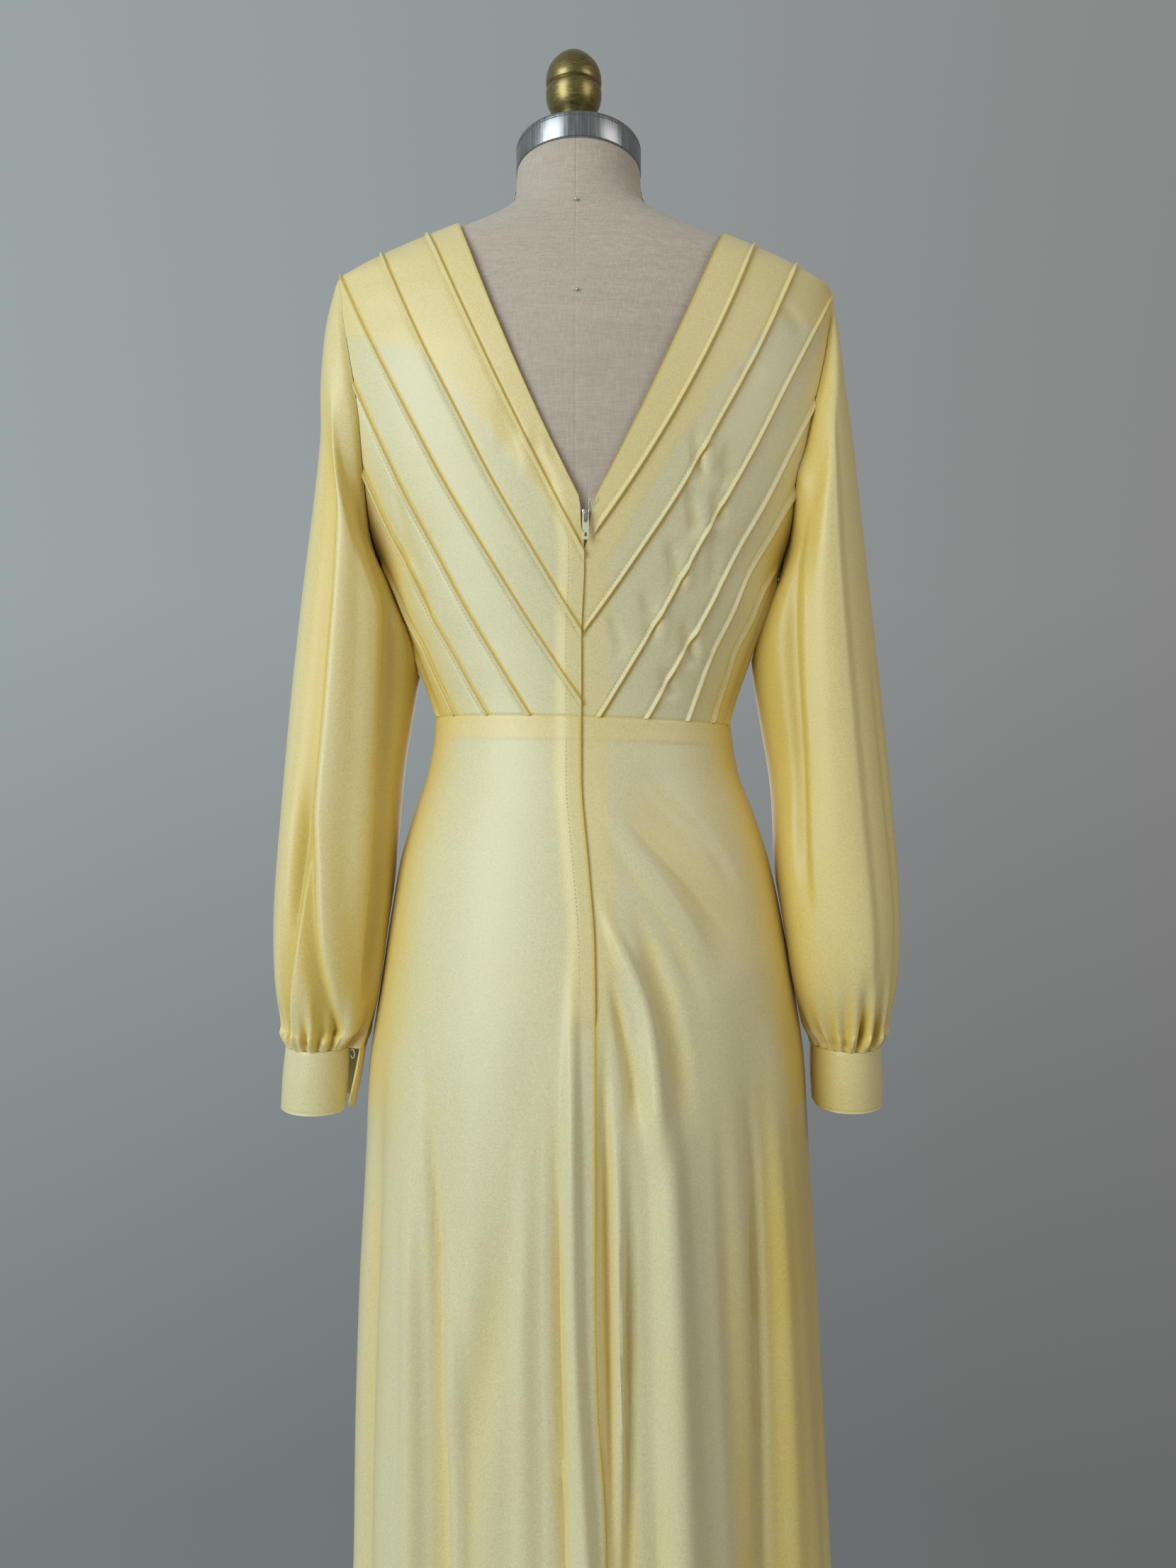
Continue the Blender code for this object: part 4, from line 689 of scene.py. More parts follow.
def line_curves(side):
    """Each line of a back bodice as x, height and the share of a tuck's height it gets."""
    sign = SIGN[side]
    curves = []
    for number, (top, ends_on, _, _, _, raised) in enumerate(LINE_ROWS[side]):
        steps = line_steps(side, number)
        x, z = along_line(side, number, steps)
        height = np.full(len(steps), float(raised))
        if side == "right" and ends_on == "centre":
            height *= ease((x - sign * free_edge(side, z) - 0.0018) / 0.0027)
        if top < ARMHOLE_ROWS[side][0, 0] + 0.030:
            height *= ease((steps - 0.08) / 0.08)
        curves.append((sign * x, z, height))
    underarm = ARMHOLE_ROWS[side][0, 0]
    coarse = np.concatenate((LINE_STEPS * 0.93, (0.93, 0.965, 1.0)))
    steps = np.interp(FINE_ROWS, np.arange(len(coarse)), coarse)
    side_x = float(body("half_width", WAIST_HEIGHT))
    z = underarm + (float(waist_height(sign * side_x)) - underarm) * steps
    curves.append((body("centre_x", z) + sign * body("half_width", z), z, np.zeros(len(steps))))
    return curves


print("lines", {side: len(LINE_ROWS[side]) for side in SIGN})

# %% [markdown]
# ## Back bodice with pintucks
#
# A pintuck is a narrow fold stitched a few millimetres from its edge. Seen from behind, each one has
# a gently rising flank with a row of stitches at its foot and a steep flank beyond it, which throws
# a shadow on the cloth; that shadow is painted gold into the colour. The columns of the grid crowd
# together round each tuck and are spread evenly between, and the profile of the tuck is a function of
# the distance to its line.

# %% Back bodice
TUCK_HEIGHT = 0.0023
TUCK_OFFSETS = np.array((0.0003, 0.0006, 0.0010, 0.0014, 0.0019, 0.0026, 0.0036))
BETWEEN = {True: 7, False: 3}
BODICE_FOLD_SCALE = 1.1
FACING_RISE = 0.0003
EDGE_TURN = 0.0015


def tuck_profile(offset):
    """Height of a tuck over 1: a slow rise on one flank, a steep fall on the other, a pinched foot."""
    slow = ease((offset + 0.0022) / 0.0020)
    steep = 1.0 - ease((offset - 0.0001) / 0.0012)
    pinch = 0.20 * bump((offset + 0.0026) / 0.0011) + 0.12 * bump((offset - 0.0018) / 0.0011)
    return slow * steep - pinch


def tuck_shadow(offset):
    """Painted gold shadow beyond a tuck's steep flank: a hump 1.6 mm past its line."""
    return bump((offset - 0.0016) / 0.0021)


def back_grid(side):
    """Grid of a back bodice: x, height, rise of the tucks and the painted shadow beside them."""
    sign = SIGN[side]
    curves = line_curves(side)
    columns = [(curves[0][0], curves[0][1], 0.0 * curves[0][0], 0.0 * curves[0][0])]
    for here, after in zip(curves[:-1], curves[1:]):
        step = np.stack((after[0] - here[0], after[1] - here[1]), axis=-1)
        along = unit(np.stack((np.gradient(here[0]), np.gradient(here[1])), axis=-1))
        gap = np.abs(step[:, 0] * along[:, 1] - step[:, 1] * along[:, 0])
        gap = np.maximum(gap, 0.3 * np.hypot(step[:, 0], step[:, 1]))[:, None]
        crowded = np.minimum(TUCK_OFFSETS[None] / gap, 0.44 * np.arange(1, 8) / 7.0)
        near = crowded if here[2].any() else None
        far = crowded if after[2].any() else None
        first = near[:, -1:] if near is not None else np.zeros((len(gap), 1))
        last = 1.0 - far[:, -1:] if far is not None else np.ones((len(gap), 1))
        count = BETWEEN[float(np.max(np.abs(step))) > 0.014]
        middle = first + (last - first) * (np.arange(1, count + 1) / (count + 1.0))[None]
        shares = [part for part in (near, middle, None if far is None else 1.0 - far[:, ::-1],
                                    np.ones((len(gap), 1))) if part is not None]
        shares = np.concatenate(shares, axis=1)
        for k in range(shares.shape[1]):
            share = shares[:, k]
            from_here = share * gap[:, 0] * (-sign)
            from_after = (1.0 - share) * gap[:, 0] * sign
            rise = here[2] * tuck_profile(from_here) + after[2] * tuck_profile(from_after)
            gold = here[2] * tuck_shadow(from_here) + after[2] * tuck_shadow(from_after)
            if k == shares.shape[1] - 1:
                rise, gold = after[2], 0.0 * share
            columns.append((here[0] + step[:, 0] * share, here[1] + step[:, 1] * share, rise, gold))
    x, z, rise, gold = (np.array([column[i] for column in columns]).T for i in range(4))
    tip = ARMHOLE_ROWS[side][-1, 0]
    top_x = sign * np.where(z[0] >= tip, body("half_width", z[0]), armhole_x(side, False, z[0]))
    fade = np.clip(1.0 - np.interp(FINE_ROWS, np.arange(10), LINE_STEPS, right=1.0) / 0.27, 0.0, 1.0)
    x = x + fade[:, None] * (top_x - x[0])
    floor_z = waist_height(x[-1]) + 0.5 * SEAM_GAP
    on_waist = z[-1] <= floor_z + 0.0009
    z[-1] = np.where(on_waist, floor_z, z[-1])
    by_edge = np.abs(x[-1] - free_edge(side, z[-1])) <= 0.001
    x[-1] = np.where(on_waist & ~by_edge, x[-1], free_edge(side, z[-1]))
    return x, z, rise, gold


GRIDS = {side: back_grid(side) for side in SIGN}
print("back grids", {side: GRIDS[side][0].shape for side in SIGN})

# %% [markdown]
# The show-through edge of the facing is drawn as one line on each side: above it the cloth lies on
# a second layer and looks warmer. Between the tucks of the right side the cloth puckers in short
# slanting folds, which are listed one by one.

# %% Facing line and puckers
FACING_LINE = {
    "left": np.array((
        (0.200, 1.350), (0.1772, 1.348), (0.119, 1.327), (0.079, 1.281), (0.028, 1.216), (0.007, 1.182),
        (-0.020, 1.150),
    )),
    "right": np.array((
        (-0.210, 1.362), (-0.152, 1.357), (-0.098, 1.290), (-0.055, 1.219), (-0.0185, 1.161), (0.010, 1.120),
    )),
}
BODICE_FOLDS = fold_rows("back", (
    (-2.6, 8, (-84, 1268), (-90, 1246), (-93, 1222)),
    (1.8, 6, (-93, 1270), (-98, 1250), (-100, 1228)),
    (-2.2, 7, (-110, 1258), (-113, 1240), (-115, 1222)),
    (-2, 8, (-102, 1226), (-106, 1210), (-107, 1192)),
    (-2.8, 8, (-80, 1224), (-87, 1205), (-90, 1184)),
    (1.8, 6, (-90, 1218), (-96, 1200), (-98, 1182)),
    (-2.6, 8, (-66, 1186), (-73, 1166), (-76, 1144)),
    (1.6, 6, (-77, 1180), (-82, 1162), (-84, 1144)),
    (-2.4, 8, (-46, 1148), (-54, 1128), (-58, 1104)),
    (1.4, 6, (-60, 1142), (-64, 1124), (-66, 1106)),
    (-2.4, 7, (-78, 1128), (-84, 1108), (-87, 1086)),
    (1.6, 6, (-88, 1126), (-94, 1108), (-97, 1090)),
    (-1.8, 8, (-62, 1092), (-68, 1078), (-72, 1062)),
    (-1.8, 7, (-22, 1128), (-30, 1112), (-35, 1094)),
    (-1.6, 8, (-98, 1196), (-103, 1172), (-105, 1146)),
    (-1, 10, (-110, 1330), (-124, 1318), (-135, 1300)),
    (-1.1, 10, (-152, 1372), (-168, 1360), (-178, 1345)),
    (-1, 12, (60, 1290), (52, 1268), (47, 1245)),
    (1, 12, (40, 1270), (36, 1250), (32, 1228)),
    (-0.9, 11, (165, 1375), (150, 1364), (139, 1350)),
    (-1.6, 7, (142, 1235), (136, 1200), (130, 1165)),
    (-1.6, 8, (130, 1190), (122, 1160), (114, 1120)),
    (1.2, 6, (30, 1262), (22, 1244), (12, 1220)),
    (-1.2, 6, (38, 1258), (29, 1238), (18, 1214)),
))


def facing_share(side, x, z):
    """1 above the facing's edge and 0 below it, over 2 mm."""
    line = FACING_LINE[side]
    order = np.argsort(line[:, 0])
    edge = np.interp(x, line[order, 0], line[order, 1])
    return ease((z - edge) / 0.0020 + 0.5)


def turn_in(outer, inner, normal, columns):
    """Edge columns turned in like a pressed seam: the outer edge goes inwards, the inner one beside it."""
    for at, beside in columns:
        towards = unit(outer[:, beside] - outer[:, at])
        lip = outer[:, at] - normal[:, at] * EDGE_TURN
        low = lip + towards * CLOTH
        inner = inner.copy()
        inner[:, at] = inner[:, at] + towards * CLOTH
        order = 1 if at == 0 else -1
        outer = np.concatenate((lip[:, None], outer)[::order], axis=1)
        inner = np.concatenate((low[:, None], inner)[::order], axis=1)
        normal = np.concatenate((normal[:, at][:, None], normal)[::order], axis=1)
    return outer, inner


def back_bodice(side):
    """Back bodice: body surface plus lap, tucks, puckers and the rolled waist seam, along the normal."""
    x, z, rise, gold = GRIDS[side]
    face, normal = on_body("back", x, z)
    lift = lap_lift(x, z) if side == "left" else 0.0 * x
    soft = BODICE_FOLD_SCALE * folds(face, normal, BODICE_FOLDS)
    seam = -0.0004 * bump((z - waist_height(x)) / 0.0024)
    facing = facing_share(side, face[..., 0], z)
    total = lift + TUCK_HEIGHT * rise + soft + seam + FACING_RISE * facing
    outer = face + normal * total[..., None]
    inner = face + normal * (lift + soft + seam - CLOTH)[..., None]
    if side == "left":
        allowance = 1.0 - ease((x - left_edge(z) - 0.0195) / 0.0015)
    else:
        allowance = 1.0 - ease((right_edge(z) - x - 0.0150) / 0.0120)
    # Painted shade for the fold mark: beside the tucks, in the puckers, along the waist seam, on the sides
    # turned from the light, and in the gaps at the centre back edges.
    turned_away_shade = np.maximum(0.45 * key_shade_share(normal), 0.8 * ease((np.abs(normal[..., 0]) - 0.52) / 0.42))
    folded = trough_shade(soft, 0.003) * 0.15 + 0.35 * bump((z - waist_height(x)) / 0.002)
    marks = {
        "fold": np.clip(0.85 * gold + folded + turned_away_shade, 0, 1),
        "layer": np.clip(np.maximum(facing, 0.75 * allowance), 0, 1),
    }
    marks["fold"][:, 0] = 1.0
    if side == "right":
        marks["fold"] = np.maximum(marks["fold"], 0.7 * bump((left_edge(z) - x) / 0.0040))
    if side == "left":
        outer, inner = turn_in(outer, inner, normal, ((0, 3),))
        marks = {key: np.pad(value, ((0, 0), (1, 0)), mode="edge") for key, value in marks.items()}
    return cloth_wall("back_bodice_" + side, outer, inner, SATIN, marks)


PIECES = {}
for side in SIGN:
    PIECES["bodice_back_" + side] = back_bodice(side)

# %% [markdown]
# ## Front bodice
#
# The front is one plain panel from side seam to side seam with a low round neckline. Its grid runs
# from the waist up to the shoulders: each row is blended from the right armhole to the left one, and
# the neckline is a parabola between the shoulder ends.

# %% Front bodice
FRONT_DROP = 0.050
FRONT_FACING = 0.045


def front_side(side, low_shares, degrees):
    """Outward x and height of the front's edge: up the side seam, then up the armhole by a cosine."""
    underarm, tip = ARMHOLE_ROWS[side][0, 0], ARMHOLE_ROWS[side][-1, 0]
    side_x = float(body("half_width", WAIST_HEIGHT))
    foot = float(waist_height(SIGN[side] * side_x)) + 0.5 * SEAM_GAP
    low = foot + (underarm - foot) * low_shares
    high = underarm + (tip - underarm) * (0.5 - 0.5 * np.cos(np.radians(degrees)))
    on_side = body("half_width", low) + SIGN[side] * body("centre_x", low)
    return np.concatenate((on_side, armhole_x(side, True, high))), np.concatenate((low, high))


def front_grid():
    """Grid of the front: rows blend the two sides, columns run up to the shoulder or the neckline."""
    low_shares = np.linspace(0.0, 1.0, 31)[:-1]
    degrees = np.linspace(0.0, 180.0, 61)
    left_x, left_z = front_side("left", low_shares, degrees)
    right_x, right_z = front_side("right", low_shares, degrees)
    neck = {side: LINE_ROWS[side][0][0] for side in SIGN}
    neck_x = {side: float(body("half_width", neck[side])) for side in SIGN}
    shoulder = np.linspace(0.0, 1.0, 24) ** 1.5
    across_neck = 0.5 - 0.5 * np.cos(np.linspace(0.0, math.pi, 60))[1:-1]
    top_x = np.concatenate((
        -right_x[-1] + (right_x[-1] - neck_x["right"]) * shoulder,
        -neck_x["right"] + (neck_x["left"] + neck_x["right"]) * across_neck,
        left_x[-1] + (neck_x["left"] - left_x[-1]) * shoulder[::-1],
    ))
    share = (top_x + right_x[-1]) / (left_x[-1] + right_x[-1])
    x = -right_x[:, None] * (1.0 - share) + left_x[:, None] * share
    ladder = np.linspace(right_z[-1], BODY_ROWS[-1, 0], 400)
    ridge = np.interp(np.abs(top_x), body("half_width", ladder)[::-1], ladder[::-1])
    across = (top_x + neck_x["right"]) / (neck_x["left"] + neck_x["right"])
    scoop = FRONT_DROP * np.clip(1.0 - (2.0 * across - 1.0) ** 2, 0.0, 1.0)
    level = neck["right"] + (neck["left"] - neck["right"]) * across
    top_z = np.where((across > 0.001) & (across < 0.999), level - scoop, ridge)
    foot_z = waist_height(x[0]) + 0.5 * SEAM_GAP
    right_rise = ((right_z - right_z[0]) / (right_z[-1] - right_z[0]))[:, None]
    left_rise = ((left_z - left_z[0]) / (left_z[-1] - left_z[0]))[:, None]
    return x, foot_z + (top_z - foot_z) * (right_rise * (1.0 - share) + left_rise * share), top_z


FRONT_FOLDS = fold_rows("front", (
    (-1.8, 12, (60, 1068), (66, 1110), (85, 1150), (110, 1180)),
    (-1.8, 12, (-64, 1066), (-70, 1112), (-90, 1152), (-114, 1178)),
    (1.2, 12, (82, 1075), (90, 1115), (112, 1155)),
    (-1.2, 14, (-150, 1330), (-120, 1300), (-98, 1262)),
    (-1.2, 14, (146, 1335), (118, 1306), (100, 1270)),
    (1, 12, (20, 1075), (18, 1120), (10, 1160)),
    (-1, 12, (-22, 1070), (-24, 1110), (-18, 1150)),
))
FRONT = front_grid()


def front_bodice():
    """Front bodice: body surface plus soft folds and the rolled waist seam."""
    x, z, top_z = FRONT
    face, normal = on_body("front", x, z)
    soft = folds(face, normal, FRONT_FOLDS)
    seam = -0.0007 * bump((z - waist_height(x)) / 0.0030)
    facing = ease((z - top_z[None] + FRONT_FACING) / 0.0020)
    outer = face + normal * (soft + seam + FACING_RISE * facing)[..., None]
    inner = face + normal * (np.minimum(soft, 0.0) + seam - CLOTH)[..., None]
    # Painted shade for the fold mark: in the troughs and on the sides turned from the light.
    turned_away_shade = 0.5 * ease((np.abs(normal[..., 0]) - 0.55) / 0.4)
    marks = {"fold": np.clip(trough_shade(soft) * 0.6 + turned_away_shade, 0.0, 1.0), "layer": facing}
    return cloth_wall("front_bodice", outer, inner, SATIN, marks)


PIECES["bodice_front"] = front_bodice()

# %% [markdown]
# ## Skirt panels
#
# The skirt is two back panels and one front. Below the waist seam a band of seam allowance shows
# through as a flatter, warmer strip. Drag folds run from the zip down over the right hip, and long
# hanging folds go to the hem. The left back's edge laps over the zip down to its end.

# %% Skirt folds
SKIRT_FOLDS = fold_rows("back", (
    # drag folds over the right hip
    (-2.4, 28, (-22, 1015), (-62, 968), (-102, 912), (-132, 855)),
    (-1.1, 8, (-14, 1004), (-46, 965), (-84, 925), (-116, 884)),
    (0.9, 8, (-14, 990), (-43, 949), (-78, 904), (-106, 857)),
    (-1.2, 8, (-14, 974), (-40, 932), (-72, 882), (-98, 826)),
    (-1, 7.5, (-34, 1022), (-68, 986), (-102, 950), (-128, 908)),
    (-3.4, 13, (-36, 920), (-56, 866), (-70, 810), (-77, 740)),
    (4.5, 10, (-13.5, 930), (-25.6, 893), (-48.2, 839), (-55, 785), (-56, 710)),
    (-3.2, 8, (-23, 868), (-30, 834), (-39, 789), (-42, 745)),
    # both sides of the centre back seam
    (4.2, 10, (4, 900), (4, 780), (2, 620), (-4, 500), (-12, 360)),
    (-4.2, 8, (15, 800), (15, 700), (13, 580), (10.5, 440), (7.5, 280)),
    (3, 15, (36, 780), (38, 620), (36, 460), (34, 300)),
    (-5, 9, (-19, 845), (-20, 760), (-21.5, 660), (-25, 540), (-30, 400)),
    (3, 8, (-29.5, 800), (-29.5, 720), (-29, 620), (-28.5, 500), (-29, 380)),
    (-3.2, 8, (-38.5, 760), (-37.5, 680), (-37, 600), (-37.5, 500), (-38.5, 380)),
    (-2, 7, (-52, 560), (-54.5, 500), (-57, 440), (-60, 360)),
    # the diagonal shade, the crease and the ridges of the left side
    (-2.6, 26, (48, 740), (57, 640), (70, 560), (80, 500), (85, 360)),
    (4, 11, (100, 730), (91, 620), (86, 500), (84, 340)),
    (-3.8, 10, (120, 830), (111, 762), (105, 700), (101, 631), (97, 470), (95, 300)),
    (3.6, 14, (128, 760), (124, 640), (122, 520), (121, 400)),
    (-3.2, 10, (150, 800), (156, 700), (160, 580), (163, 440)),
    # long folds of the right side
    (5.8, 19, (-54, 850), (-62, 770), (-67, 680), (-71, 560), (-78, 320)),
    (-2.8, 15, (-102, 800), (-108, 700), (-113, 580), (-118, 440)),
    (-5.6, 8, (-124, 790), (-130, 720), (-132.5, 620), (-134, 500), (-136, 340)),
    (3.2, 14, (-146, 800), (-152, 680), (-157, 540), (-160, 400)),
))
SKIRT_FOLDS += fold_rows("front", (
    # plain long folds on the hidden front
    (-4, 16, (120, 830), (124, 700), (128, 540), (132, 360)),
    (3.4, 14, (74, 860), (78, 720), (82, 560), (86, 380)),
    (-3.6, 14, (34, 840), (36, 700), (38, 520), (40, 340)),
    (3, 13, (-12, 860), (-14, 720), (-14, 560), (-16, 360)),
    (-3.6, 14, (-60, 850), (-64, 700), (-68, 540), (-70, 340)),
    (3, 14, (-104, 840), (-108, 700), (-114, 540), (-118, 360)),
    (-3.4, 14, (-146, 800), (-152, 660), (-158, 500), (-162, 340)),
))


def to_hem(row):
    """A long fold's row with its path carried on almost to the hem; a short fold stays as it is."""
    (x_before, z_before), (x_last, z_last) = row[-1][-2:]
    if z_last > 0.5:
        return row
    drift = 0.6 * (x_last - x_before) / (z_before - z_last)
    return (*row[:-1], (*row[-1], (x_last + drift * (z_last - 0.06), 0.06)))


SKIRT_FOLDS = tuple(to_hem(row) for row in SKIRT_FOLDS)
# The crease on the right past which the cloth turns away from the light and is painted in shade: height and x
SIDE_CREASE = np.array(((0.34, -0.136), (0.50, -0.134), (0.62, -0.1325), (0.72, -0.130), (0.79, -0.124)))
SKIRT_FOLD_SCALE = 1.6
SEAM_BAND = 0.0168
HEM_DEPTH = 0.030


def skirt_columns(side, z):
    """Angles across a back panel at heights z: close steps along the lap, then even to the side seam."""
    sign = SIGN[side]
    near = np.concatenate((np.linspace(0.0, 0.0155, 12), (0.0175, 0.0200)))
    near_angle = angle_at("back", free_edge(side, z)[:, None] + sign * near, z[:, None])
    limit = sign * (math.pi / 2 - 0.5 * SEAM_GAP / body("back", z))[:, None]
    even = np.linspace(0.0, 1.0, 76)[1:]
    return np.concatenate((near_angle, near_angle[:, -1:] + (limit - near_angle[:, -1:]) * even), axis=1)


def skirt_heights():
    """Heights of the rows: 1 mm apart by the waist, then wider down to the hem."""
    below = stepped((0.0, 0.024, 17), (0.024, 0.24, 61), (0.24, 1.0, 118))
    return WAIST_HEIGHT - below * (WAIST_HEIGHT - HEM_HEIGHT)


def skirt_panel(name, angle, z, side=None):
    """Skirt panel: body surface plus lap, band under the seam, folds and hem, along the normal."""
    face = body_face(angle, z)
    drop = (waist_height(face[..., 0]) - 0.5 * SEAM_GAP - WAIST_HEIGHT) * bump((WAIST_HEIGHT - z) / 0.05)
    z = z + drop
    face = body_face(angle, z)
    normal = body_normal(angle, z)
    x = face[..., 0]
    below = waist_height(x) - z
    lift = lap_lift(x, z) if side == "left" else 0.0 * x
    soft = SKIRT_FOLD_SCALE * folds(face, normal, SKIRT_FOLDS) * ease((below - 0.018) / 0.03)
    seam = -0.0004 * bump(below / 0.0024)
    band = 1.0 - ease((below - SEAM_BAND) / 0.0012)
    hem = 0.0006 * ease((HEM_HEIGHT + HEM_DEPTH - z) / 0.002)
    outer = face + normal * (lift + soft + seam + 0.0005 * band + hem)[..., None]
    inner = face + normal * (lift + soft + seam - CLOTH)[..., None]
    # Painted shade for the fold mark: in the troughs, most near the centre back, under the waist seam, on the
    # sides turned from the light, more on the right and less low down, past the right crease, at the cut
    # edges and along the lap. Painted beige shade in the troughs and over the upper right joins the layer
    # mark beside the real seam band and the lap.
    near_seam = bump((x + 0.020) / 0.075)
    gold = trough_shade(soft, 0.006) * (0.10 + 0.28 * near_seam) + 0.3 * bump(below / 0.002)
    low_share = np.where(x > 0.0, 0.25, 0.85)
    turned_away_shade = ease((np.abs(normal[..., 0]) - 0.56) / 0.40) * np.where(x > 0.0, 0.72, 1.05)
    turned_away_shade = turned_away_shade * (low_share + (1.0 - low_share) * ease((z - 0.70) / 0.12))
    turned_away_shade = np.maximum(turned_away_shade, 0.4 * key_shade_share(normal))
    crease = np.interp(z, SIDE_CREASE[:, 0], SIDE_CREASE[:, 1])
    past_crease = ease((crease - x) / 0.012) * ease((0.82 - z) / 0.16) * ease(3.0 * normal[..., 1])
    turned_away_shade = np.maximum(turned_away_shade, 0.72 * past_crease)
    beige_shade = 0.55 * trough_shade(soft, 0.004) + 0.35 * ease((-x - 0.02) / 0.10) * ease((z - 0.55) / 0.3)
    layer = np.maximum(band, beige_shade)
    if side is not None:
        from_edge = np.abs(x - free_edge(side, z))
        layer = np.maximum(layer, 0.8 * (1.0 - ease((from_edge - 0.019) / 0.003)) * ease((z - 0.80) / 0.04))
    marks = {"fold": np.clip(gold + 0.9 * turned_away_shade, 0.0, 1.0), "layer": layer}
    marks["fold"][:, (0, 1, -1)] = np.maximum(marks["fold"][:, (0, 1, -1)], (1.0, 0.5, 0.8))
    if side == "right":
        from_lap = (left_edge(z) - x) / 0.0030
        marks["fold"] = np.maximum(marks["fold"], 0.7 * bump(from_lap) * ease((z - ZIP_END_HEIGHT) / 0.010))
    outer, inner = turn_in(outer, inner, normal, ((0, 3), (-1, -4)))
    marks = {key: np.pad(value, ((0, 0), (1, 1)), mode="edge") for key, value in marks.items()}
    return cloth_wall(name, outer, inner, SATIN, marks)


HEIGHTS = skirt_heights()
for side in SIGN:
    name = "skirt_back_" + side
    PIECES[name] = skirt_panel("back_skirt_" + side, skirt_columns(side, HEIGHTS), HEIGHTS[:, None], side)
LIMIT = 0.5 * SEAM_GAP / body("front", HEIGHTS)[:, None]
FRONT_TURN = math.pi / 2 + LIMIT + (math.pi - 2.0 * LIMIT) * np.linspace(0.0, 1.0, 150)
PIECES["skirt_front"] = skirt_panel("front_skirt", FRONT_TURN, HEIGHTS[:, None])

# %% [markdown]
# ## Sleeves
#
# A bishop sleeve is narrow at the armhole, wide below the elbow and gathered into a cuff. It is a
# stack of slanted ellipses between the armhole's own sewn ring and the ring of the cuff. A smooth
# curve runs down through the stack for every direction round the arm, and the long folds, the cap's
# easing and the cuff's gathers are humps added outwards.

# %% Sleeve tables
SLEEVE_ROWS = {
    "left": (
        (0.2050, 1.3750, 0.1650, 1.160, 0.058, 0.064), (0.2090, 1.3300, 0.1560, 1.132, 0.062, 0.066),
        (0.2095, 1.2850, 0.1465, 1.105, 0.064, 0.066), (0.2150, 1.2300, 0.1445, 1.072, 0.064, 0.062),
        (0.2235, 1.1600, 0.1440, 1.030, 0.064, 0.058), (0.2320, 1.0800, 0.1455, 0.985, 0.064, 0.054),
        (0.2390, 0.9950, 0.1520, 0.930, 0.066, 0.050), (0.2450, 0.9050, 0.1610, 0.872, 0.068, 0.046),
        (0.2445, 0.8450, 0.1665, 0.836, 0.064, 0.040), (0.2405, 0.8100, 0.1705, 0.808, 0.055, 0.032),
    ),
    "right": (
        (0.2125, 1.3620, 0.1690, 1.152, 0.058, 0.064), (0.2170, 1.3250, 0.1640, 1.128, 0.062, 0.066),
        (0.2230, 1.2800, 0.1590, 1.102, 0.064, 0.066), (0.2290, 1.2250, 0.1570, 1.070, 0.064, 0.062),
        (0.2370, 1.1500, 0.1570, 1.028, 0.064, 0.058), (0.2455, 1.0700, 0.1590, 0.985, 0.064, 0.054),
        (0.2535, 0.9850, 0.1640, 0.930, 0.066, 0.050), (0.2590, 0.9000, 0.1750, 0.872, 0.068, 0.046),
        (0.2570, 0.8450, 0.1820, 0.838, 0.064, 0.038), (0.2510, 0.8100, 0.1875, 0.808, 0.055, 0.030),
    ),
}
# Long folds: depth, degrees they reach to the outer and to the inner side, and rows of level and angle
SLEEVE_FOLDS = {
    "left": (
        (-0.008, 36, 7, ((2, 68), (4, 71), (5.7, 73), (7.75, 74), (8.5, 84),
                     (9.6, 98), (10.3, 107), (11.2, 115), (12.4, 118))),
        (0.0026, 7, 26, ((2, 77), (4, 80), (5.7, 82), (7.75, 83), (8.5, 93),
                     (9.6, 107), (10.3, 116), (11.2, 124))),
        (-0.007, 26, 8, ((7.3, 72), (8, 71), (8.5, 69), (9.6, 63), (10.3, 56), (11, 51), (12.5, 49))),
        (-0.0075, 5, 20, ((1.2, 124), (3, 129), (5.7, 134), (7, 137), (8.5, 138), (10.5, 137))),
        (0.003, 22, 5, ((1.2, 117), (3, 122), (5.7, 127), (7, 130), (9, 131))),
        (-0.005, 15, 15, ((3, 222), (7, 222), (12, 222))),
        (-0.005, 14, 14, ((1.5, 275), (6, 275), (12, 275))),
        (0.003, 12, 12, ((2, 250), (6, 248), (12, 248))),
    ),
    "right": (
        (0.0036, 12, 40, ((1.8, 74), (5, 78), (8, 80), (10.6, 84))),
        (-0.0065, 5, 18, ((1.5, 120), (4.2, 123), (6, 125), (7.6, 127), (8.8, 127))),
        (-0.0024, 8, 8, ((6, 44), (8, 42), (11, 40))),
        (-0.0056, 9, 7, ((9.9, 90), (10.8, 86), (12.6, 86))),
        (-0.0056, 10, 8, ((10, 72), (11, 64), (12.6, 62))),
        (-0.005, 15, 15, ((3, 218), (7, 218), (12, 218))),
        (-0.005, 14, 14, ((1.5, 272), (6, 272), (12, 272))),
        (0.003, 12, 12, ((2, 246), (6, 246), (12, 246))),
    ),
}
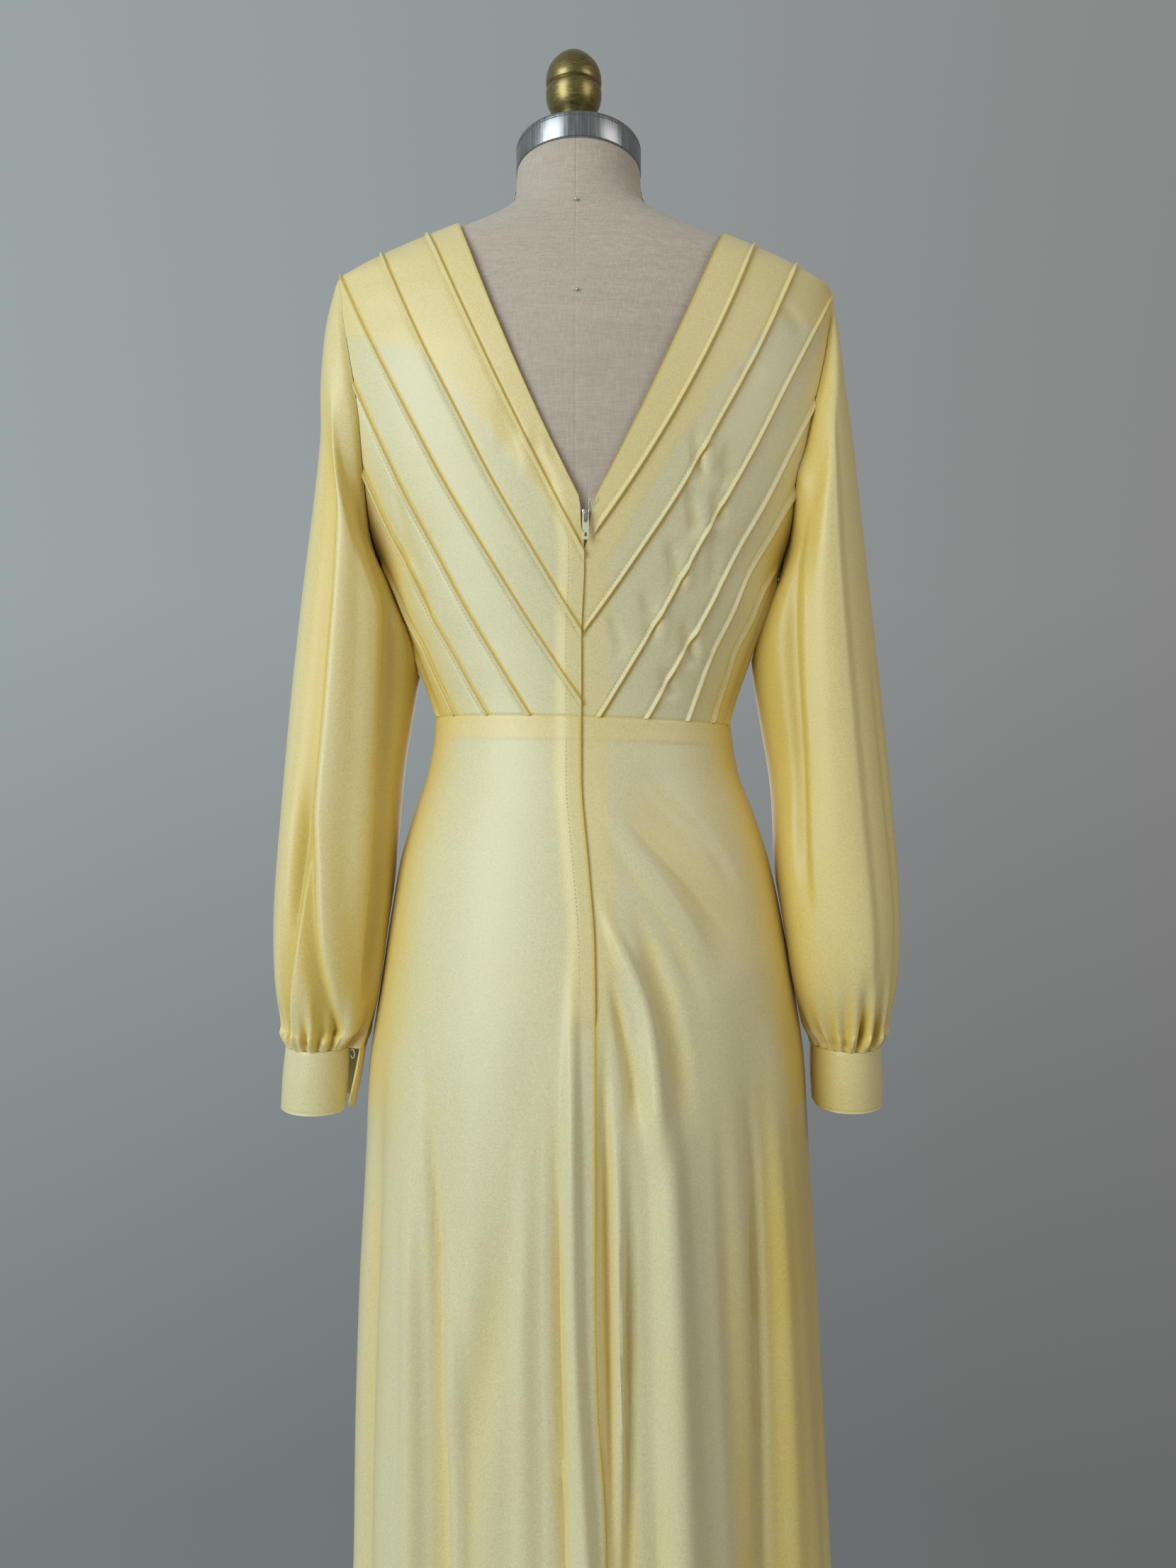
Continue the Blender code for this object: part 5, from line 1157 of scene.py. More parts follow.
# Gathers at the cuff: angle, depth, half width in degrees and the level where they start
GATHER_ROWS = {
    "left": (
        (10, -0.0044, 8, 9.7), (28, -0.0056, 8, 9.8), (45, -0.0062, 8, 9.4), (61, 0.003, 7, 9.3),
        (77, -0.0066, 8, 9.7), (87, 0.0026, 6, 9.9), (97, -0.006, 8, 9.9), (116, -0.0062, 8, 9.5),
        (131, 0.0026, 8, 9.9), (146, -0.0058, 9, 9.6), (164, -0.0046, 9, 10.1), (182, -0.005, 9, 9.9),
        (205, -0.005, 9, 10), (228, -0.0044, 9, 9.8), (250, -0.0052, 9, 10.1), (272, -0.0044, 9, 9.7),
        (294, -0.005, 9, 10), (316, -0.0046, 9, 9.8), (338, -0.005, 9, 10.1),
    ),
    "right": (
        (12, -0.0046, 8, 9.8), (28, -0.0058, 8, 9.4), (44, -0.006, 8, 9.1), (54, 0.003, 7, 9.1),
        (63, -0.006, 8, 9.3), (75, 0.0034, 7, 9.2), (86, -0.0066, 8, 9.1), (97, 0.0026, 6, 9.5),
        (106, -0.006, 8, 9.4), (122, -0.0058, 8, 9.7), (138, -0.005, 8, 10), (156, -0.005, 9, 9.8),
        (178, -0.0046, 9, 10), (200, -0.005, 9, 9.9), (224, -0.0044, 9, 10.1), (247, -0.0052, 9, 9.8),
        (270, -0.0044, 9, 10), (292, -0.005, 9, 9.7), (315, -0.0046, 9, 10), (338, -0.005, 9, 9.8),
    ),
}
# Cuffs: centre and half sizes of the ellipse, top and height, shift of the lower edge, angles of the two
# ends, rise of the far end, a base share of painted shade and the layer mark.
CUFFS = {
    "left": {"centre": (0.2075, 0.0120), "half": (0.0290, 0.0360), "top": 0.7900, "height": 0.0480,
             "lower_shift": 0.0030, "first": 150.0, "last": -210.0, "end_rise": 0.0115,
             "gold": 0.02, "layer": 0.25},
    "right": {"centre": (0.2160, 0.0130), "half": (0.0280, 0.0360), "top": 0.7900, "height": 0.0460,
              "lower_shift": 0.0005, "first": 168.0, "last": -214.0, "end_rise": -0.0031,
             "gold": 0.15, "layer": 0.60},
}
# Puffs towards the body, behind the underarm and by the hip: depth, level, levels, angle, degrees
LOBES = {
    "left": ((0.019, 3.6, 3.6, 168.0, 62.0), (0.011, 9.8, 3.4, 152.0, 70.0)),
    "right": ((0.019, 3.6, 3.6, 168.0, 62.0), (0.014, 9.8, 3.4, 152.0, 70.0)),
}
# Painted shade for the fold mark: of all the cloth, more in valleys, on the inner side and behind the crease,
# and its last level
SLEEVE_SHADE = {"left": (0.06, 0.95, 0.75, 0.95, 10.5), "right": (0.20, 0.60, 0.50, 0.70, 8.5)}
# Crease behind the arm: its first angle, and its drift with each level as far as the last of them
CREASE_START = {"left": 126.0, "right": 119.0}
CREASE_DRIFT = 1.2
CREASE_LEVELS = 8.0
ARMHOLE_GAP = 0.0005
BESIDE_GAP = 0.0016
SLEEVE_SEGMENTS = 168
SLEEVE_LEVELS = stepped((0.0, 1.0, 12), (1.0, 11.0, 96), (11.0, 13.0, 40))
print("sleeve rows", len(SLEEVE_LEVELS))

# %% [markdown]
# The first ring lies just inside the armhole's edge. It is read from the fine grids of the panels,
# moved into the hole by half a millimetre, so the sleeve meets the bodice without touching it.

# %% Sleeve


def armhole_ring(side, turn):
    """Ring inside an armhole: the panels' edge by height, moved along its run crossed with its normal."""
    sign = SIGN[side]
    underarm, tip = ARMHOLE_ROWS[side][0, 0], ARMHOLE_ROWS[side][-1, 0]
    z = 0.5 * (tip + underarm) + 0.5 * (tip - underarm) * np.cos(turn)
    back_x, back_z = GRIDS[side][0][0], GRIDS[side][1][0]
    edge = -1 if side == "left" else 0
    front_x, front_z = FRONT[0][:, edge], FRONT[1][:, edge]
    back_edge = on_body("back", back_x, back_z)[0][back_z <= tip + 1e-6]
    front_edge = on_body("front", front_x, front_z)[0][front_z >= underarm - 1e-6]
    on_back = np.sin(turn) >= 0
    loop = np.stack((z, z, z), axis=-1)
    for axis in (0, 1):
        at_back = np.interp(z, back_edge[::-1, 2], back_edge[::-1, axis])
        at_front = np.interp(z, front_edge[:, 2], front_edge[:, axis])
        loop[:, axis] = np.where(on_back, at_back, at_front)
    angle = np.where(on_back, angle_at("back", loop[:, 0], z), angle_at("front", loop[:, 0], z))
    normal = body_normal(angle, z)
    along = np.roll(loop, -1, axis=0) - np.roll(loop, 1, axis=0)
    into_hole = unit(np.cross(along, normal)) * sign
    from_underarm = ease((z - underarm) / 0.080)[:, None]
    loop = loop + into_hole * ARMHOLE_GAP + normal * 0.0008 * (1.0 - from_underarm)
    near_tip = ease((z - tip + 0.090) / 0.090)[:, None]
    return loop, normal, into_hole, near_tip


def cuff_ring(side, turn, height_share, rise=0.0):
    """Ellipse of a cuff in plan from its outer side by way of the back; height_share 0 is the top."""
    cuff = CUFFS[side]
    x = cuff["centre"][0] + cuff["lower_shift"] * height_share + (cuff["half"][0] + rise) * np.cos(turn)
    y = cuff["centre"][1] + (cuff["half"][1] + rise) * np.sin(turn)
    z = cuff["top"] - cuff["height"] * height_share + 0.0 * x
    return np.stack((SIGN[side] * x, y, z), axis=-1)


def end_rise(side, degrees):
    """How far the far end of a cuff stands away: all of it at the opening, none 60 degrees further round."""
    first, full = CUFFS[side]["first"], max(CUFFS[side]["end_rise"], 0.0)
    return full * (1.0 - ease((degrees - first) / 60.0)) * ease((degrees - first + 5.0) / 5.0)


def sleeve_rise(side, degrees, levels):
    """Sum of the long folds, the cap's easing and the gathers, for each level and angle."""
    level = levels[:, None]
    rise = np.zeros((len(levels), len(degrees)))
    for depth, outer_reach, inner_reach, path in SLEEVE_FOLDS[side]:
        path = np.array(path)
        middle = smooth(level, path[:, 0], path[:, 1])
        offset = wrapped(degrees - middle)
        run = ease((level - path[0, 0]) / 1.6) * ease((path[-1, 0] - level) / 1.2)
        rise = rise + depth * run * bump(offset / np.where(offset < 0, outer_reach, inner_reach))
    easing = np.cos(10.0 * np.radians(degrees)) * bump(wrapped(degrees) / 75.0) * bump(level - 1.0)
    rise = rise + 0.0012 * easing
    for angle, depth, half_width, start in GATHER_ROWS[side]:
        offset = wrapped(degrees - angle)
        width = half_width * (1.45 - 0.65 * ease((level - start) / 3.0))
        run = ease((level - start) / (11.9 - start)) * (1.0 - 0.55 * ease((level - 12.3) / 0.7))
        rise = rise + depth * run * bump(offset / width)
    return rise


def beside_body(points, gap):
    """Points moved straight out of the body's ellipse until they lie a gap outside it."""
    x = points[..., 0] - body("centre_x", points[..., 2])
    wide = body("half_width", points[..., 2]) + gap
    deep = np.where(points[..., 1] > 0, body("back", points[..., 2]), body("front", points[..., 2])) + gap
    out = np.maximum(1.0, 1.0 / np.maximum(np.hypot(x / wide, points[..., 1] / deep), 0.5))
    moved = points.copy()
    moved[..., 0] += x * (out - 1.0)
    moved[..., 1] *= out
    return moved


def sleeve(side):
    """Sleeve: curves through the armhole's ring, slanted ellipses and the cuff's ring, plus its folds."""
    sign = SIGN[side]
    turn = full_turn(SLEEVE_SEGMENTS)
    degrees = np.degrees(turn)
    seam, seam_normal, into_hole, near_tip = armhole_ring(side, turn)
    rings = []
    for outer_x, outer_z, inner_x, inner_z, back, front in SLEEVE_ROWS[side]:
        middle = 0.5 * np.array((outer_x + inner_x, back - front, outer_z + inner_z))
        across = 0.5 * np.array((outer_x - inner_x, 0.0, outer_z - inner_z))
        points = middle + np.cos(turn)[:, None] * across
        points[:, 1] += 0.5 * (back + front) * np.sin(turn)
        points[:, 0] *= sign
        rings.append(points)
    outward = [unit(points - points.mean(axis=0)) for points in rings]
    from_inner = (0.5 + 0.5 * np.cos(turn))[:, None]
    first = seam + 0.35 * (rings[0] - seam) + outward[0] * 0.003 * from_inner
    last = cuff_ring(side, turn, 0.0, end_rise(side, degrees))
    last[:, 2] += SEAM_GAP
    near_last = 0.5 * (last + rings[-1]) + outward[-1] * 0.0028 * (0.3 + 0.7 * from_inner)
    base = through(SLEEVE_LEVELS, (seam, first, *rings, near_last, last))
    away = unit(through(SLEEVE_LEVELS, (outward[0], outward[0], *outward, outward[-1], outward[-1])))
    rise = sleeve_rise(side, degrees, SLEEVE_LEVELS)
    outer = base + away * rise[..., None]
    for depth, level, levels, angle, reach in LOBES[side]:
        lobe = bump((SLEEVE_LEVELS - level) / levels)[:, None] * bump((degrees - angle) / reach)
        outer[..., 0] -= sign * depth * lobe
    inner_half = ease((0.2 - np.cos(turn)) / 0.4)[:, None]
    below_seam = ease(SLEEVE_LEVELS - 0.9)[:, None, None]
    outer = outer + (beside_body(outer, BESIDE_GAP) - outer) * below_seam * inner_half
    down = np.gradient(outer, axis=0)
    round_arm = np.roll(outer, -1, axis=1) - np.roll(outer, 1, axis=1)
    normal = unit(np.cross(down, round_arm)) * sign
    edge_normal = normal[0] * (1.0 - near_tip) + seam_normal * near_tip
    towards_panel = np.sum(edge_normal * into_hole, axis=-1, keepdims=True)
    normal[0] = unit(edge_normal - into_hole * np.maximum(towards_panel, 0.0))
    # Painted shade for the fold mark: a base share, more in valleys, on the side towards the body, behind the
    # crease and where the cloth turns from the key light. The layer mark makes the whole sleeve warmer.
    base_shade, valley_shade, inner_shade, behind_shade, low_end = SLEEVE_SHADE[side]
    inner_side = inner_shade * ease((-sign * normal[..., 0] - 0.10) / 0.75)
    crease = CREASE_START[side] + CREASE_DRIFT * np.minimum(SLEEVE_LEVELS, CREASE_LEVELS)[:, None]
    behind = ease((degrees - crease) / 9.0) * ease((235.0 - degrees) / 25.0)
    inner_side = np.maximum(inner_side, behind_shade * behind * ease((low_end - SLEEVE_LEVELS) / 3.0)[:, None])
    turned_away_shade = np.maximum(inner_side, 0.7 * key_shade_share(normal))
    gold = base_shade + valley_shade * trough_shade(rise, 0.009) + turned_away_shade
    marks = {"fold": np.clip(gold, 0.0, 1.0), "layer": 0.85 + 0.0 * rise}
    return cloth_wall("sleeve_cloth_" + side, outer, outer - normal * CLOTH, SATIN, marks, closed=True)


for side in SIGN:
    PIECES["sleeve_" + side] = sleeve(side)

# %% [markdown]
# ## Cuffs
#
# A cuff is a straight folded band. It is an open strip round the wrist: on the left sleeve its far
# end stands away from the near one, and on the right it lies under it. The strip has rounded lower
# corners, a slight swell half-way down and a pressed line at its upper and its lower edge.

# %% Cuffs
CORNER = 0.006
CUFF_WALL = 0.0013


def cuff(side):
    """Cuff strip: an ellipse round the wrist, down by its height, with rounded end corners."""
    shape = CUFFS[side]
    degrees = np.linspace(shape["first"], shape["last"], 171)
    level = stepped((0.0, 0.1, 5), (0.1, 0.9, 15), (0.9, 1.0, 7))[:, None]
    from_far = (degrees - shape["last"]) / 60.0
    rise = shape["end_rise"] * (1.0 - ease(from_far)) * np.ones_like(level)
    if shape["end_rise"] > 0:
        rise = rise * (1.0 - 0.72 * level)
    from_end = np.radians(np.minimum(shape["first"] - degrees, degrees - shape["last"])) * 0.032
    from_corner = 1.0 - np.clip(from_end / CORNER, 0.0, 1.0)
    short = CORNER * (1.0 - np.sqrt(np.clip(1.0 - from_corner ** 2, 0.0, 1.0)))
    sag = np.sin(3.0 * np.radians(degrees) + 0.7) * 0.0008 * level
    swell = 0.0005 * bump((level - 0.5) / 0.5)
    swell = swell - 0.0004 * bump((level - 0.97) / 0.03) - 0.0006 * bump(level / 0.04)
    turn = np.radians(degrees)[None, :] + 0.0 * level
    outer = cuff_ring(side, turn, level, rise + swell + sag)
    inner = cuff_ring(side, turn, level, rise + sag - CUFF_WALL - 0.3 * swell)
    for grid in (outer, inner):
        grid[..., 2] += short * level ** 3 - 0.0020 * level * ease(np.sin(turn))
    # Painted shade for the fold mark: a base share, more under the gathers at the top edge and on the side
    # towards the body.
    gold = shape["gold"] + 0.25 * bump(level / 0.05) + 0.40 * ease(-np.cos(turn))
    marks = {"fold": gold, "layer": shape["layer"] + 0.0 * turn}
    return cloth_wall("cuff_band_" + side, outer, inner, SATIN, marks)


for side in SIGN:
    PIECES["cuff_" + side] = cuff(side)

# %% [markdown]
# ## Dress form
#
# The form is a padded torso covered in grey-beige linen, with a seam down the centre back, a curved
# seam at the base of the neck and two round-headed pins. Rings are carried up a table of widths and
# depths. The seams are a narrow groove and a narrow ridge added along the ring's own direction.

# %% Linen and torso
FORM_ROWS = np.array((
    (0.800, 0.1200, 0.074, 0.070, 0.00), (0.808, 0.1420, 0.094, 0.086, 0.00),
    (0.832, 0.1540, 0.110, 0.098, 0.00), (0.865, 0.1520, 0.112, 0.101, 0.00),
    (0.900, 0.1470, 0.109, 0.101, 0.00), (0.940, 0.1400, 0.101, 0.099, 0.00),
    (0.980, 0.1285, 0.0925, 0.0955, 0.00), (1.010, 0.1195, 0.0862, 0.0935, 0.00),
    (1.030, 0.1155, 0.0828, 0.0905, 0.00), (1.050, 0.1135, 0.0815, 0.0885, 0.00),
    (1.075, 0.1175, 0.0822, 0.0900, 0.00), (1.100, 0.1275, 0.0832, 0.0925, 0.00),
    (1.145, 0.1420, 0.0875, 0.1005, 0.00), (1.178, 0.1500, 0.0915, 0.1065, 0.00),
    (1.220, 0.1560, 0.0945, 0.1085, 0.00), (1.270, 0.1620, 0.0965, 0.1035, 0.00),
    (1.320, 0.1690, 0.0955, 0.0925, 0.00), (1.360, 0.1780, 0.0895, 0.0790, 0.00),
    (1.388, 0.1835, 0.0820, 0.0665, 0.00), (1.404, 0.1790, 0.0760, 0.0585, 0.00),
    (1.4130, 0.1720, 0.0728, 0.0543, 0.00), (1.4248, 0.1565, 0.0680, 0.0486, 0.00),
    (1.4388, 0.1225, 0.0617, 0.0426, 0.00), (1.4484, 0.0952, 0.0580, 0.0398, 0.00),
    (1.4578, 0.0715, 0.0545, 0.0395, 0.02), (1.4680, 0.0570, 0.0510, 0.0405, 0.05),
    (1.4790, 0.0520, 0.0482, 0.0430, 0.10), (1.4990, 0.0505, 0.0468, 0.0478, 0.15),
))
CENTRE_SEAM_X = 0.0016


def linen():
    """Linen cover: crossing fine threads with uneven slubs, grey-beige, matt."""
    material, tree, shader, place = new_tree(
        "form_linen", Roughness=0.88, Sheen_Weight=0.15, Sheen_Roughness=0.6, Specular_IOR_Level=0.25)
    level = noise(tree, place, 900.0, 2.0, (0.12, 0.12, 1.0))
    upright = noise(tree, place, 900.0, 2.0, (1.0, 1.0, 0.10))
    slub = noise(tree, place, 160.0, 2.0, (0.10, 0.10, 1.0))
    cloud = noise(tree, place, 7.0)
    threads = weighted(tree, level, 0.5, upright, 0.5)
    weave = span(tree, weighted(tree, threads, 0.75, slub, 0.15), 0.34, 0.60)
    colour = blend_colour(tree, weave, (0.49, 0.41, 0.33), (0.67, 0.575, 0.47))
    warm = blend_colour(tree, span(tree, cloud, 0.3, 0.7, 0.0, 0.35), colour, (0.58, 0.485, 0.41))
    connect(tree, shader, warm, weave, 0.4, 0.0003)
    return material


def form_torso():
    """Torso: ring points from half width times cosine and depth times sine, with seams in relief."""
    rows = through(stepped((0, 20, 101), (20, 25, 61), (25, 27, 13)), FORM_ROWS)
    near_seam = math.pi / 2 - (np.arange(-9, 10) * 0.0005 + CENTRE_SEAM_X) / 0.09
    turn = np.sort(np.concatenate((np.linspace(0, 2 * math.pi, 113)[:-1], near_seam)))
    level = rows[:, None, :]
    depth = np.where(np.sin(turn) > 0, level[..., 2], level[..., 3])
    x = level[..., 1] * np.cos(turn)
    y = depth * np.sin(turn)
    z = level[..., 0] + level[..., 4] * y
    on_back = ease(y / 0.02)
    groove = -0.0005 * bump((x - CENTRE_SEAM_X) / 0.0010) * on_back
    arc = 1.4528 - 7.4 * x ** 2
    ridge = 0.0006 * bump((z - arc) / 0.0016) * on_back * ease((0.050 - np.abs(x)) / 0.006)
    out = unit(np.stack((np.cos(turn) + 0.0 * x, np.sin(turn) + 0.0 * x, 0.0 * x), axis=-1))
    points = np.stack((x, y, z), axis=-1) + out * (groove + ridge)[..., None]
    low = [points[0] * (share, share, 0.0) + (0.0, 0.0, rows[0, 0]) for share in (0.3, 0.75)]
    return loft("linen_torso", np.concatenate((np.array(low), points)), linen())


PIECES["form_torso"] = form_torso()

# %% [markdown]
# ## Metal and iron parts
#
# The neck ends in a brushed steel band with a turned brass finial on it. The torso stands on an
# iron pole in a round base. All are turned on a lathe in a real workshop, and the same is done here:
# a profile of radii and heights is carried round the axis.

# %% Metals


def brushed(name, colour, roughness, stretch, spread, coat=0.0):
    """Brushed metal: noise drawn out along the brushing changes colour, roughness and bump."""
    material, tree, shader, place = new_tree(name, Metallic=1.0, Coat_Weight=coat)
    streaks = noise(tree, place, 700.0, 3.0, stretch)
    cloud = noise(tree, place, 30.0, 3.0)
    dark = tuple(c * (1.0 - spread) for c in colour)
    base = blend_colour(tree, span(tree, streaks, 0.35, 0.65), dark, colour)
    worn = blend_colour(tree, span(tree, cloud, 0.45, 0.75, 0.0, 0.45), base, tuple(c * 0.6 for c in colour))
    rough = span(tree, streaks, 0.3, 0.7, roughness, roughness + 0.14)
    connect(tree, shader, worn, streaks, 0.25, 0.0001, rough)
    return material


def enamel(name, colour, roughness=0.42):
    """Black stove enamel on iron: fine orange-peel bump and slight unevenness."""
    material, tree, shader, place = new_tree(name, Coat_Weight=0.15, Coat_Roughness=0.3)
    cloud = noise(tree, place, 18.0, 3.0)
    uneven = blend_colour(tree, span(tree, cloud, 0.35, 0.7), colour, tuple(c * 1.9 + 0.004 for c in colour))
    rough = span(tree, cloud, 0.3, 0.7, roughness, roughness + 0.15)
    connect(tree, shader, uneven, noise(tree, place, 260.0), 0.2, 0.0003, rough)
    return material


STEEL = brushed("brushed_steel", (0.40, 0.41, 0.42), 0.22, (1.0, 1.0, 0.05), 0.30)
BRASS = brushed("old_brass", (0.34, 0.27, 0.10), 0.30, (0.2, 0.2, 1.0), 0.35, 0.2)
NICKEL = brushed("nickel", (0.72, 0.71, 0.68), 0.22, (1.0, 1.0, 0.2), 0.15)
IRON = enamel("black_enamel", (0.018, 0.018, 0.019))

# %% Band, finial, pole and base
NECK_TOP = 1.4990
BAND_LOW = NECK_TOP + SEAM_GAP
BAND_HEIGHT = 0.0205
BAND_TILT = 0.150
FINIAL_ROWS = (
    (0.0170, 0.0000), (0.0172, 0.0030), (0.0155, 0.0065), (0.0125, 0.0110), (0.0120, 0.0170),
    (0.0127, 0.0225), (0.0152, 0.0275), (0.0190, 0.0325), (0.0212, 0.0370), (0.0226, 0.0425),
    (0.0229, 0.0475), (0.0223, 0.0500), (0.0212, 0.0512), (0.0222, 0.0525), (0.0229, 0.0560),
    (0.0224, 0.0620), (0.0203, 0.0680), (0.0166, 0.0730), (0.0112, 0.0780), (0.0055, 0.0810),
    (0.0015, 0.0820),
)
POLE_FOOT = 0.0183
POLE_TOP = 0.800 - SEAM_GAP
# Pole: radius, and height above its foot at the lower end or depth below its top at the upper end
POLE_LOW = (
    (0.0292, 0.0), (0.0300, 0.0008), (0.0300, 0.011), (0.0290, 0.0125), (0.0225, 0.0175), (0.0180, 0.026),
    (0.0138, 0.033), (0.0125, 0.040), (0.0125, 0.044),
)
POLE_HIGH = (
    (0.0125, 0.034), (0.0128, 0.030), (0.0180, 0.020), (0.0270, 0.009), (0.0280, 0.007), (0.0280, 0.0008),
    (0.0272, 0.0),
)
POLE_ROWS = [(r, POLE_FOOT + h) for r, h in POLE_LOW] + [(r, POLE_TOP - h) for r, h in POLE_HIGH]
BASE_ROWS = (
    (0.1680, 0.0), (0.1692, 0.0006), (0.1700, 0.002), (0.1700, 0.010), (0.1695, 0.0125), (0.1672, 0.0152),
    (0.1640, 0.0165), (0.1560, 0.0180), (0.0500, 0.0180),
)


def turned(name, rows, material, steps=4, segments=128, tilt=None, centre=(0.0, 0.0), sharp=35.0):
    """Lathe work: a curve through radius and height carried round the axis."""
    rows = np.array(rows)
    fine = through(np.linspace(0.0, len(rows) - 1.0, (len(rows) - 1) * steps + 1), rows)
    slopes = [0.0 if tilt is None else tilt(h) for h in fine[:, 1]]
    rings = [ring(r, r, h, segments, s, centre) for (r, h), s in zip(fine, slopes)]
    return loft(name, np.array(rings), material, sharp)


def neck_band():
    """Steel band: an ellipse with rolled edges and a shallow groove under its rim, tilted like the neck."""
    rows = ((0.0008, 0.0), (0.0002, 0.0005), (0.0, 0.0012), (0.0, 0.0160), (0.0005, 0.0164), (0.0005, 0.0170),
            (0.0, 0.0174), (0.0, 0.0195), (0.0003, 0.0201), (0.0010, 0.0205), (0.0300, 0.0205))
    rings = [ring(0.0512 - inset, 0.0485 - inset, BAND_LOW + rise, 144, BAND_TILT) for inset, rise in rows]
    return loft("steel_band", np.array(rings), STEEL)


PIECES["neck_band"] = neck_band()
FINIAL_FOOT = BAND_LOW + BAND_HEIGHT + SEAM_GAP
FINIAL_PROFILE = [(r, h + FINIAL_FOOT) for r, h in FINIAL_ROWS]
PIECES["finial"] = turned("brass_finial", FINIAL_PROFILE, BRASS, centre=(0.004, 0.0),
                          tilt=lambda h: BAND_TILT * max(0.0, 1.0 - (h - FINIAL_FOOT) / 0.011))
PIECES["pole"] = turned("iron_pole", POLE_ROWS, IRON, segments=72)
PIECES["base"] = turned("iron_base", BASE_ROWS, IRON, segments=160)

# %% [markdown]
# ## Zip
#
# The closed zip runs down between the two back panels, under the lap. A woven tape carries a row of
# small metal teeth. The slider and its pull tab are kept from the model, because the pull turns on
# its hinge, and they get their own metal finish.

# %% Zip tape and teeth
SLIDER_X = -0.0060
CHAIN_DEPTH = 0.0022
CHAIN_TOP = 1.20325
CHAIN_END = ZIP_END_HEIGHT + 0.006


def tape_finish():
    """Woven tape: fine ribs along its length."""
    material, tree, shader, place = new_tree("zip_tape", Roughness=0.75, Sheen_Weight=0.1)
    ribs = noise(tree, place, 1600.0, 1.0, (1.0, 1.0, 0.08))
    cross = noise(tree, place, 1800.0, 1.0, (0.2, 0.2, 1.0))
    weave = weighted(tree, ribs, 0.6, cross, 0.4)
    colour = blend_colour(tree, span(tree, weave, 0.38, 0.62), (0.62, 0.52, 0.24), (0.84, 0.76, 0.44))
    connect(tree, shader, colour, weave, 0.3, 0.0002)
    return material


def chain_frame(z, across):
    """Points inside the cloth along the zip: the body surface less the chain's depth, and its normal."""
    to_slider = ease((z - 1.150) / 0.045)
    under_lap = left_edge(z) + 0.0035
    x = under_lap + (SLIDER_X - under_lap) * to_slider + across
    face, normal = on_body("back", x, z + 0.0 * x)
    return face - normal * CHAIN_DEPTH, normal


ZIP_Z = np.linspace(CHAIN_TOP, CHAIN_END, 180)[:, None]
TAPE, TAPE_NORMAL = chain_frame(ZIP_Z, np.linspace(-0.0055, 0.0055, 9)[None])
PIECES["zip_chain"] = cloth_wall("zip_tape_strip", TAPE, TAPE - TAPE_NORMAL * 0.0006, tape_finish())
TEETH_Z = np.arange(CHAIN_END + 0.001, CHAIN_TOP, 0.0011)
TEETH_SIDE = np.where(np.arange(len(TEETH_Z)) % 2 == 0, 0.0005, -0.0005)
TEETH, TEETH_UP = chain_frame(TEETH_Z, TEETH_SIDE)
TEETH_ALONG = np.cross(TEETH_UP, np.array((0.0, 0.0, 1.0)))
TEETH_PIECE = capsules("zip_teeth", TEETH + TEETH_UP * 0.0001, TEETH_ALONG, TEETH_UP, 0.0030, 0.0009, NICKEL)

# %% [markdown]
# ## Stitches
#
# Sewing makes the dress believable close up. Each stitch is a tiny rounded capsule that lies on the
# cloth: rows along the tucks, the topstitching of the lap, and a row at the waist seam. All the
# stitches of one row are one mesh, made from the same short profile.

# %% Stitches


def thread_finish(name, colour):
    """Sewing thread: twisted look from slanting fine noise."""
    material, tree, shader, place = new_tree(name, Roughness=0.5, Sheen_Weight=0.2)
    twist = noise(tree, place, 3000.0, 1.0, (1.0, 1.0, 0.3))
    dark = tuple(c * 0.82 for c in colour)
    connect(tree, shader, blend_colour(tree, span(tree, twist, 0.35, 0.65), dark, colour))
    return material


THREAD = thread_finish("yellow_thread", (0.88, 0.77, 0.42))
PALE_THREAD = thread_finish("pale_thread", (0.90, 0.86, 0.70))
PITCH = 0.0030
STITCH_FROM_TUCK = 0.0029


def surface_stitches(x, z, lift):
    """Stitches at equal steps along a line on the back: capsules on the body surface plus lift."""
    run = np.concatenate(((0.0,), np.cumsum(np.hypot(np.diff(x), np.diff(z)))))
    places = np.arange(0.5 * PITCH, run[-1], PITCH)
    x, z, lift = (np.interp(places, run, values) for values in (x, z, lift + 0.0 * x))
    face, normal = on_body("back", x, z)
    points = face + normal * lift[:, None]
    return points, np.gradient(points, axis=0), normal


def join_rows(name, rows, material, length=0.0019, width=0.00045):
    """One mesh of stitches from several rows."""
    points, along, up = (np.concatenate([row[i] for row in rows]) for i in range(3))
    return capsules(name, points, along, up, length, width, material)


def tuck_rows(side):
    """Rows of stitches at the foot of each tuck's slow flank."""
    rows = []
    for number, line in enumerate(LINE_ROWS[side]):
        if not line[5]:
            continue
        steps = np.linspace(0.03 if line[0] > 1.2 else 0.18, 0.985, 120)
        x, z = along_line(side, number, steps)
        x = SIGN[side] * x
        slope = unit(np.stack((np.gradient(x), np.gradient(z)), axis=-1))
        sideways = np.stack((-slope[:, 1], slope[:, 0]), axis=-1)
        sideways = sideways * np.sign(sideways[:, :1])
        x = x + STITCH_FROM_TUCK * sideways[:, 0]
        z = z + STITCH_FROM_TUCK * sideways[:, 1]
        inside = (x - free_edge(side, z)) * SIGN[side] > 0.002
        x, z = x[inside], z[inside]
        lift = lap_lift(x, z) if side == "left" else 0.0 * x
        lift = lift + folds(*on_body("back", x, z), BODICE_FOLDS) * 0.75 - 0.0001
        rows.append(surface_stitches(x, z, lift))
    return rows


def lap_row(name, here, lift):
    """Topstitching of the lap over the part of its line that is here, raised by the lap and a little more."""
    x, z = LAP_X[here], LAP_Z[here]
    return join_rows(name, [surface_stitches(x, z, lap_lift(x, z) + lift)], THREAD)


TUCK_STITCHES = {side: join_rows("tuck_stitches_" + side, tuck_rows(side), THREAD) for side in SIGN}

